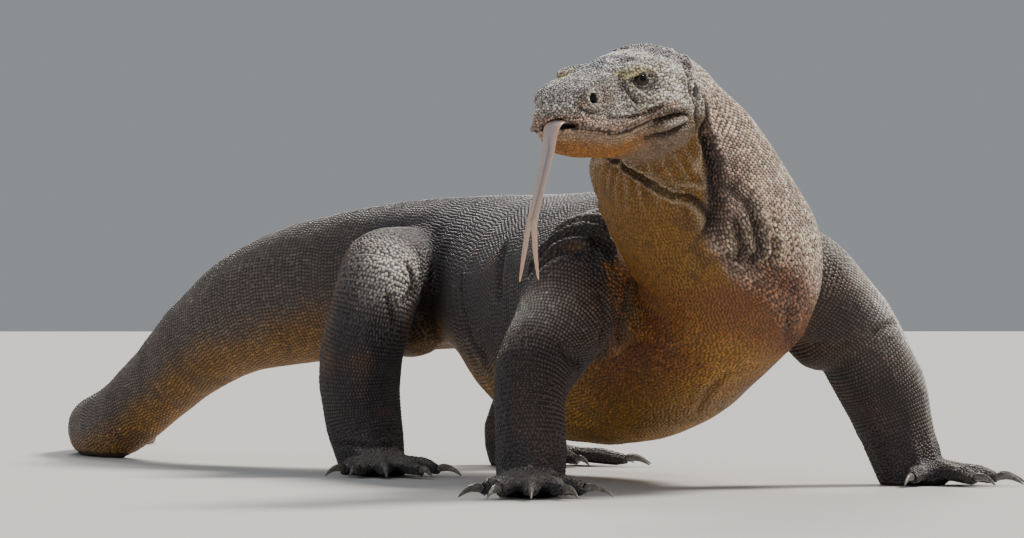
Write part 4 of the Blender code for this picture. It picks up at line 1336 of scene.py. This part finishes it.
def bare(places):
    """Where no scale grows: on the open eyes, in ears, nostrils and mouth, and under the soles."""
    head = places.half_head
    on_head = places.on("head", "lower_jaw", "neck") > 0.2
    eye = (eye_ring(head) < 1.10) & ((head - EYE_AT) @ EYE_AXES[0] > 0)
    eye &= np.linalg.norm(head - EYE_AT, axis=1) < 2 * EYE_RADIUS
    ear = np.linalg.norm((head - EAR_AT) / [0.0060, 0.009, 0.0105], axis=1) < 1
    nostril = np.linalg.norm(head - NOSTRIL_AT, axis=1) < 0.0062
    gap = np.abs(head[:, 2] - mouth_height(head[:, 0]))
    groove = (gap < 0.0013) & (head[:, 0] > 0.05)
    flat = np.abs(places.normals @ HEAD_AXES[2]) > 0.80
    mouth = (head[:, 0] > 0.12) & (head[:, 0] < 0.222) & (gap < 0.0085) & flat
    sole = (places.points[:, 2] < 0.0030) | ((places.points[:, 2] < 0.008) & (places.normals[:, 2] < -0.6))
    return sole | on_head & (eye | ear | nostril | groove | mouth)


def grow_roots():
    """All the roots of scales: lips and rings first, then whatever fits between them."""
    tree = BVHTree.FromPolygons(skin.points.tolist(), skin.faces.tolist())
    roots = Roots()
    batches = [
        (lip_candidates(tree), LIP_LIMIT),
        (ring_candidates(tree), ROW_LIMIT),
        (random_candidates(FILL_TRIES), FILL_LIMIT),
    ]
    points, faces = [], []
    for (spots, on_faces), limit in batches:
        places = skin.places_at(spots, on_faces)
        clear = ~bare(places)
        spacing = np.sqrt(scale_sizes(places.take(clear))[:, :2].prod(1))
        kept = np.flatnonzero(clear)[roots.add(spots[clear], spacing, limit)]
        points.append(spots[kept])
        faces.append(on_faces[kept])
    return skin.places_at(np.concatenate(points), np.concatenate(faces))


def fitted_sizes(places):
    """Sizes of the scales, drawn out along and across to the room that their neighbours leave."""
    sizes = scale_sizes(places)
    points = places.points
    tree = tree_of(points)
    near = np.array([[found[1] for found in tree.find_n(point, 7)[1:]] for point in points.tolist()])
    away = points[near] - points[:, None]
    across = np.cross(places.normals, places.lie)
    room = np.stack([np.abs((away * axis[:, None]).sum(2)).mean(1) for axis in (places.lie, across)], axis=1)
    fit = np.clip(room / ROOM_SHARE / sizes[:, :2], 0.80, 1.40)
    fit = 0.5 * fit + 0.5 * np.sqrt(fit.prod(1, keepdims=True))
    sizes[:, :2] *= fit * 1.03
    return sizes * (1 + 0.06 * RANDOM.normal(size=(len(sizes), 1)))


# A scale is a dome: rings of corners and one on top, each with its spread, lift, lean forward and shade.
SIDES = 6
DOME_RINGS = [(1.03, -0.45, 0.0, 0.42), (0.84, 0.62, 0.12, 0.90)]
DOME_TOP_AHEAD = 0.06
DOME_TOP_SHADE = 1.16
# Darkest and lightest that a painted colour may be.
TINT_LIMITS = (0.002, 0.9)
# Radius of a scale's own patch in the bake layout.
PATCH_RADIUS = 0.0015
# Pieces of the coat and their nodes; one with more scales than this is split in parts along the body.
PIECE_SCALES = 10500
COAT_PIECES = {"head": ["head"], "jaw": ["lower_jaw"]}
COAT_PIECES.update({node: [node] for node in SPINE_NODES[:-2]})
COAT_PIECES["tail_rear"] = ["tail_rear", "tail_tip"]
COAT_PIECES.update(LIMBS)
COAT_PIECES.update({foot: [foot] for foot in FEET})


def dome_faces():
    """The triangles of one scale."""
    faces = []
    for k in range(SIDES):
        after = (k + 1) % SIDES
        inner, inner_after = SIDES + k, SIDES + after
        faces += [(k, after, inner_after), (k, inner_after, inner), (inner, inner_after, 2 * SIDES)]
    return np.array(faces)


def coat_piece(name, places, sizes, tops, material):
    """One joined mesh of domed scales, each with its own size, turn and shade, and its patch on OFBake."""
    count = len(sizes)
    points, normals = places.points, places.normals
    length, width, height = (sizes[:, k, None] for k in range(3))
    turn = 0.10 * RANDOM.normal(size=(count, 1))
    aside = np.cross(normals, places.lie)
    lie = places.lie * np.cos(turn) + aside * np.sin(turn)
    across = aside * np.cos(turn) - places.lie * np.sin(turn)
    angles = (np.arange(SIDES) + 0.5) * 2 * math.pi / SIDES
    corners, shades, patch = [], [], []
    for spread, lift, lean, shade in DOME_RINGS:
        for angle in angles:
            x, y = 0.5 * spread * math.cos(angle), 0.5 * spread * math.sin(angle)
            rise = lift + lean * math.cos(angle)
            corners.append(points + lie * (x * length) + across * (y * width) + normals * (rise * height))
            shades.append(shade)
            patch.append((PATCH_RADIUS * spread * math.cos(angle), PATCH_RADIUS * spread * math.sin(angle)))
    corners.append(points + lie * (DOME_TOP_AHEAD * length) + normals * height)
    shades.append(DOME_TOP_SHADE)
    patch.append((0, 0))
    faces = (dome_faces()[None] + (np.arange(count) * len(corners))[:, None, None]).reshape(-1, 3)
    made = mesh_object(name, np.stack(corners, axis=1).reshape(-1, 3), faces)
    colours = np.clip(tops[:, None, :] * np.array(shades)[None, :, None], *TINT_LIMITS)
    paint_points(made.data, colours.reshape(-1, 3))
    reach = (places.reach - places.reach.min()) / max(np.ptp(places.reach), 1e-6)
    middle = 0.01 + 0.98 * np.stack([places.angle / (2 * math.pi) + 0.5, reach], axis=1)
    bake = (middle[:, None, :] + np.array(patch)[None]).reshape(-1, 2)
    layer = made.data.uv_layers.new(name="OFBake")
    layer.data.foreach_set("uv", bake[faces.ravel()].astype(np.float32).ravel())
    set_material(made, material)
    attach(made, "root")
    return made


def dress_coat():
    """Makes the coat's pieces, those with too many scales as several parts along the body."""
    roots = grow_roots()
    sizes = fitted_sizes(roots)
    throat = throat_share(roots) * roots.on("neck")
    crown = smoothstep(0.03, 0.05, roots.head[:, 2])
    spread = 0.20 + roots.on("head") * (0.22 + 0.20 * crown) + 0.18 * roots.on("neck") - 0.26 * throat
    shade = spread[:, None] * RANDOM.normal(size=(len(sizes), 1))
    shade = shade + 0.025 * RANDOM.normal(size=(len(sizes), 3))
    tops = scale_colours(roots) * np.clip(np.exp(shade - 0.5 * spread[:, None] ** 2), 0.25, 2.4)
    material = tinted("scale", 0.42, 700.0, 0.35)
    for name, nodes in COAT_PIECES.items():
        chosen = np.flatnonzero(roots.owned(*nodes))
        parts = -(-len(chosen) // PIECE_SCALES)
        order = chosen[np.argsort(roots.reach[chosen], kind="stable")]
        for number, part in enumerate(np.array_split(order, parts), 1):
            piece = f"scales_{name}" if parts == 1 else f"scales_{name}_{number}"
            made = coat_piece(piece, roots.take(part), sizes[part], tops[part], material)


# ---------------------------------------------------------------- materials


class Nodes:
    """Short way to build a Principled material."""

    def __init__(self, name, **settings):
        self.material = bpy.data.materials.new(name)
        self.material.use_nodes = True
        self.tree = self.material.node_tree
        self.shader = self.tree.nodes["Principled BSDF"]
        for key, value in settings.items():
            self.shader.inputs[key.replace("_", " ")].default_value = value

    def add(self, kind, inputs=None, **settings):
        """A node with its settings and inputs; an input is a value or another node's socket."""
        node = self.tree.nodes.new("ShaderNode" + kind)
        for key, value in settings.items():
            setattr(node, key, value)
        for key, value in (inputs or {}).items():
            if isinstance(value, bpy.types.NodeSocket):
                self.tree.links.new(value, node.inputs[key])
            else:
                node.inputs[key].default_value = value
        return node

    def join(self, socket, key):
        """Feeds a socket into the shader."""
        self.tree.links.new(socket, self.shader.inputs[key])

    def place(self):
        """Coordinates of the object itself, the same as the frame's."""
        return self.add("TexCoord").outputs["Object"]

    def noise(self, scale, detail=3.0):
        """Noise over the object's own coordinates."""
        return self.add("TexNoise", {"Vector": self.place(), "Scale": scale, "Detail": detail}).outputs["Fac"]

    def mapped(self, value, low, high):
        """A value from 0 to 1, spread from low to high."""
        return self.add("MapRange", {"Value": value, "To Min": low, "To Max": high}).outputs["Result"]

    def grained_tint(self, scale, low, high):
        """Colours the shader by the painted tint times a fine noise from low to high; gives the noise."""
        tint = self.add("Attribute", attribute_name="tint").outputs["Color"]
        fine = self.noise(scale)
        inputs = {"Fac": 1.0, "Color1": tint, "Color2": self.mapped(fine, low, high)}
        self.join(self.add("MixRGB", inputs, blend_type="MULTIPLY").outputs["Color"], "Base Color")
        return fine

    def bump(self, height, strength, distance):
        """Bump from a height."""
        made = self.add("Bump", {"Height": height, "Strength": strength, "Distance": distance})
        self.join(made.outputs["Normal"], "Normal")

    def ramp(self, value, stops):
        """Colours along a value."""
        made = self.add("ValToRGB", {"Fac": value})
        elements = made.color_ramp.elements
        while len(elements) < len(stops):
            elements.new(0.5)
        for element, (position, colour) in zip(elements, stops):
            element.position = position
            element.color = (*colour, 1)
        return made.outputs["Color"]


def tinted(name, roughness, grain, grain_strength):
    """Material that takes its colour from the painted tint, with a fine grain in colour, gloss and relief."""
    made = Nodes(name, Roughness=roughness)
    fine = made.grained_tint(grain, 0.80, 1.20)
    made.join(made.mapped(fine, roughness - 0.08, roughness + 0.10), "Roughness")
    made.bump(fine, grain_strength, 0.0006)
    return made.material


def eye_material():
    """Dark wet eye with a brown iris round a black pupil, by the distance from the eye's own front."""
    made = Nodes("eye_dark", Roughness=0.10, Specular_IOR_Level=0.25, Coat_Weight=0.12, Coat_Roughness=0.02)
    out = made.add("SeparateXYZ", {"Vector": made.place()}).outputs["Z"]
    share = made.add("MapRange", {"Value": out, "From Min": EYE_RADIUS, "From Max": 0.0}).outputs["Result"]
    waves = made.add("Math", {0: made.noise(900.0), 1: 0.05}, operation="MULTIPLY").outputs[0]
    wavy = made.add("Math", {0: share, 1: waves}, operation="ADD").outputs[0]
    colour = made.ramp(wavy, [
        (0.00, (0.002, 0.002, 0.002)), (0.13, (0.003, 0.002, 0.002)), (0.17, (0.040, 0.018, 0.008)),
        (0.30, (0.022, 0.010, 0.005)), (0.42, (0.008, 0.005, 0.004)), (1.00, (0.030, 0.022, 0.018)),
    ])
    made.join(colour, "Base Color")
    return made.material


def horn_material():
    """Grey horn with darker and paler streaks."""
    made = Nodes("horn", Roughness=0.34, Specular_IOR_Level=0.5)
    streaks = made.noise(260.0, 4.0)
    colour = made.ramp(streaks, [
        (0.25, (0.045, 0.040, 0.036)), (0.55, (0.150, 0.135, 0.118)), (0.80, (0.300, 0.275, 0.240)),
    ])
    made.join(colour, "Base Color")
    made.bump(streaks, 0.35, 0.0004)
    return made.material


def tongue_material():
    """Moist tongue: grey mauve on top, pink at its edges, peach towards its tips."""
    made = Nodes(
        "tongue_moist", Roughness=0.30, Coat_Weight=0.35, Coat_Roughness=0.15, Subsurface_Weight=0.15,
        Subsurface_Radius=(0.004, 0.0015, 0.001), Subsurface_Scale=1.0,
    )
    made.bump(made.grained_tint(420.0, 0.86, 1.12), 0.25, 0.0004)
    return made.material


def drum_material():
    """Thin dark membrane of the ear."""
    made = Nodes("ear_membrane", Roughness=0.40, Specular_IOR_Level=0.45)
    colour = made.ramp(made.noise(500.0), [(0.3, (0.030, 0.024, 0.022)), (0.7, (0.075, 0.058, 0.050))])
    made.join(colour, "Base Color")
    return made.material


def floor_material():
    """Plain pale matt floor."""
    return Nodes("plain_floor", Roughness=0.85, Base_Color=(0.62, 0.61, 0.59, 1)).material


# ---------------------------------------------------------------- dressing the frame


def dress_skin():
    """Paints the skin, which replaces the solids of the flesh."""
    made = skin.object
    paint_points(made.data, np.clip(skin_colours(skin.places()), *TINT_LIMITS))
    shade_smoothly(made.data)
    set_material(made, tinted("hide", 0.60, 420.0, 0.5))
    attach(made, "root")
    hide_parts(*FLESH)


def smooth_copy(nodes, name, levels=2):
    """Copies of low CAD solids as one rounded piece that replaces them."""
    made = welded_copy(nodes, name)
    applied(made, "round", "SUBSURF", levels=levels, render_levels=levels)
    shade_smoothly(made.data)
    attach(made, "root")
    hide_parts(*nodes)
    return made


def dress_claws():
    """Rounded horn claws, five to a foot."""
    horn = horn_material()
    for limb in ("front_right", "front_left", "hind_right", "hind_left"):
        nodes = [f"claw_{limb}_{k}" for k in range(1, 6)]
        made = smooth_copy(nodes, "claws_" + limb)
        set_material(made, horn)


# How far left the hanging tongue's middle lies, and the share of its breadth that is kept, by its height.
TONGUE_MIDDLE = ([-0.148, -0.09, -0.06, -0.024, 0.0], [-0.009, -0.0062, 0.001, 0.009, 0.009])
TONGUE_BREADTH = ([-0.105, -0.085, -0.050, -0.015, 0.0], [1.0, 0.86, 0.74, 0.80, 0.94])


def dress_tongue():
    """Rounded tongue, tinted from its root to its tips and from its middle to its edges, with painted shade
    along the furrow of its hanging part.
    """
    made = smooth_copy(["tongue"], "tongue_skin")
    head = in_head(points_of(made.data))
    middle = np.interp(head[:, 2], *TONGUE_MIDDLE)
    share = np.interp(head[:, 2], *TONGUE_BREADTH)
    aside = (head[:, 1] - middle) * share
    edge = smoothstep(0.0020, 0.0062, np.abs(aside))
    hanging = smoothstep(-0.004, -0.020, head[:, 2]) * smoothstep(-0.100, -0.084, head[:, 2])
    head[:, 1] = middle + aside
    head[:, 0] += hanging * (0.0012 * edge - 0.0010 * bell(aside, 0, 0.0016))
    move_points(made.data, from_head(head))
    colour = layered(
        TONGUE_TOP,
        (TONGUE_TIP, smoothstep(-0.02, -0.11, head[:, 2])),
        (TONGUE_EDGE, 0.7 * edge),
        # Painted shade in the furrow down the hanging tongue's middle.
        (TONGUE_FURROW_SHADE, 0.6 * hanging * bell(aside, 0, 0.0011)),
    )
    paint_points(made.data, colour)
    set_material(made, tongue_material())


def dress_eyes():
    """Smooth eyeballs turned so that their own up axis looks out of the head."""
    dark = eye_material()
    for side, sign in (("left", 1), ("right", -1)):
        low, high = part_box("eye_" + side)
        work = bmesh.new()
        bmesh.ops.create_uvsphere(work, u_segments=40, v_segments=28, radius=EYE_RADIUS)
        made = linked("eyeball_" + side, mesh_from(work, "eyeball_" + side))
        shade_smoothly(made.data)
        set_material(made, dark)
        outward = Vector(EYE_AXES[0] * [1, sign, 1] @ HEAD_AXES)
        made.rotation_mode = "QUATERNION"
        made.rotation_quaternion = outward.to_track_quat("Z", "Y")
        made.location = (low + high) / 2
        bpy.context.view_layer.update()
        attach(made, "root")
        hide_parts("eye_" + side)


def dress_drums():
    """Gives the ear drums their membrane."""
    membrane = drum_material()
    for side in ("left", "right"):
        set_material(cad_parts["ear_drum_" + side], membrane)


dress_skin()
dress_coat()
dress_claws()
dress_tongue()
dress_eyes()
dress_drums()

# ---------------------------------------------------------------- floor, lights and camera

FLOOR_HALF = 400.0
# The floor lies this far under the solids, which stand at height 0.
FLOOR_GAP = 0.0005
SKY_COLOUR = (0.80, 0.84, 0.90, 1)
SKY_STRENGTH = 0.34
CAMERA_TURN = math.radians(21)
CAMERA_RISE = math.radians(0.83)
CAMERA_LENS = 147.66
# The camera's distance from PLACE, how far left of it the camera stands, and its height.
CAMERA_AWAY = 4.5
CAMERA_ASIDE = 0.21
CAMERA_HEIGHT = 0.17


def lay_floor():
    """A plain floor that reaches to the horizon."""
    work = bmesh.new()
    bmesh.ops.create_grid(work, x_segments=1, y_segments=1, size=FLOOR_HALF)
    floor = linked("floor", mesh_from(work, "floor"))
    floor.location = (0, 0, -FLOOR_GAP)
    set_material(floor, floor_material())


def light_sky():
    """An even pale sky."""
    world = bpy.data.worlds.new("studio")
    world.use_nodes = True
    background = world.node_tree.nodes["Background"]
    background.inputs["Color"].default_value = SKY_COLOUR
    background.inputs["Strength"].default_value = SKY_STRENGTH
    bpy.context.scene.world = world


def sun(name, source, strength, softness, colour):
    """A wide soft light from a far source."""
    data = bpy.data.lights.new(name, "SUN")
    data.energy, data.angle, data.color = strength, math.radians(softness), colour
    made = linked(name, data)
    made.rotation_mode = "QUATERNION"
    made.rotation_quaternion = (-Vector(source)).to_track_quat("-Z", "Y")


def set_camera():
    """The photo's view."""
    data = bpy.data.cameras.new("camera")
    data.lens, data.sensor_width, data.clip_end = CAMERA_LENS, 36.0, 1000.0
    camera = linked("camera", data)
    ahead = Vector((math.sin(CAMERA_TURN), math.cos(CAMERA_TURN), 0))
    aside = Vector((math.cos(CAMERA_TURN), -math.sin(CAMERA_TURN), 0))
    camera.location = Vector(PLACE) - ahead * CAMERA_AWAY - aside * CAMERA_ASIDE
    camera.location.z += CAMERA_HEIGHT
    looking = ahead * math.cos(CAMERA_RISE) + Vector((0, 0, math.sin(CAMERA_RISE)))
    camera.rotation_mode = "QUATERNION"
    camera.rotation_quaternion = looking.to_track_quat("-Z", "Y")
    bpy.context.scene.camera = camera


lay_floor()
light_sky()
sun("key", (0.95, 0.00, 1.15), 4.2, 18, (1.0, 0.95, 0.88))
sun("rim", (0.25, 1.00, 0.60), 1.0, 14, (1.0, 0.96, 0.90))
sun("fill", (-0.60, -1.00, 0.70), 0.7, 60, (0.95, 0.97, 1.0))
set_camera()
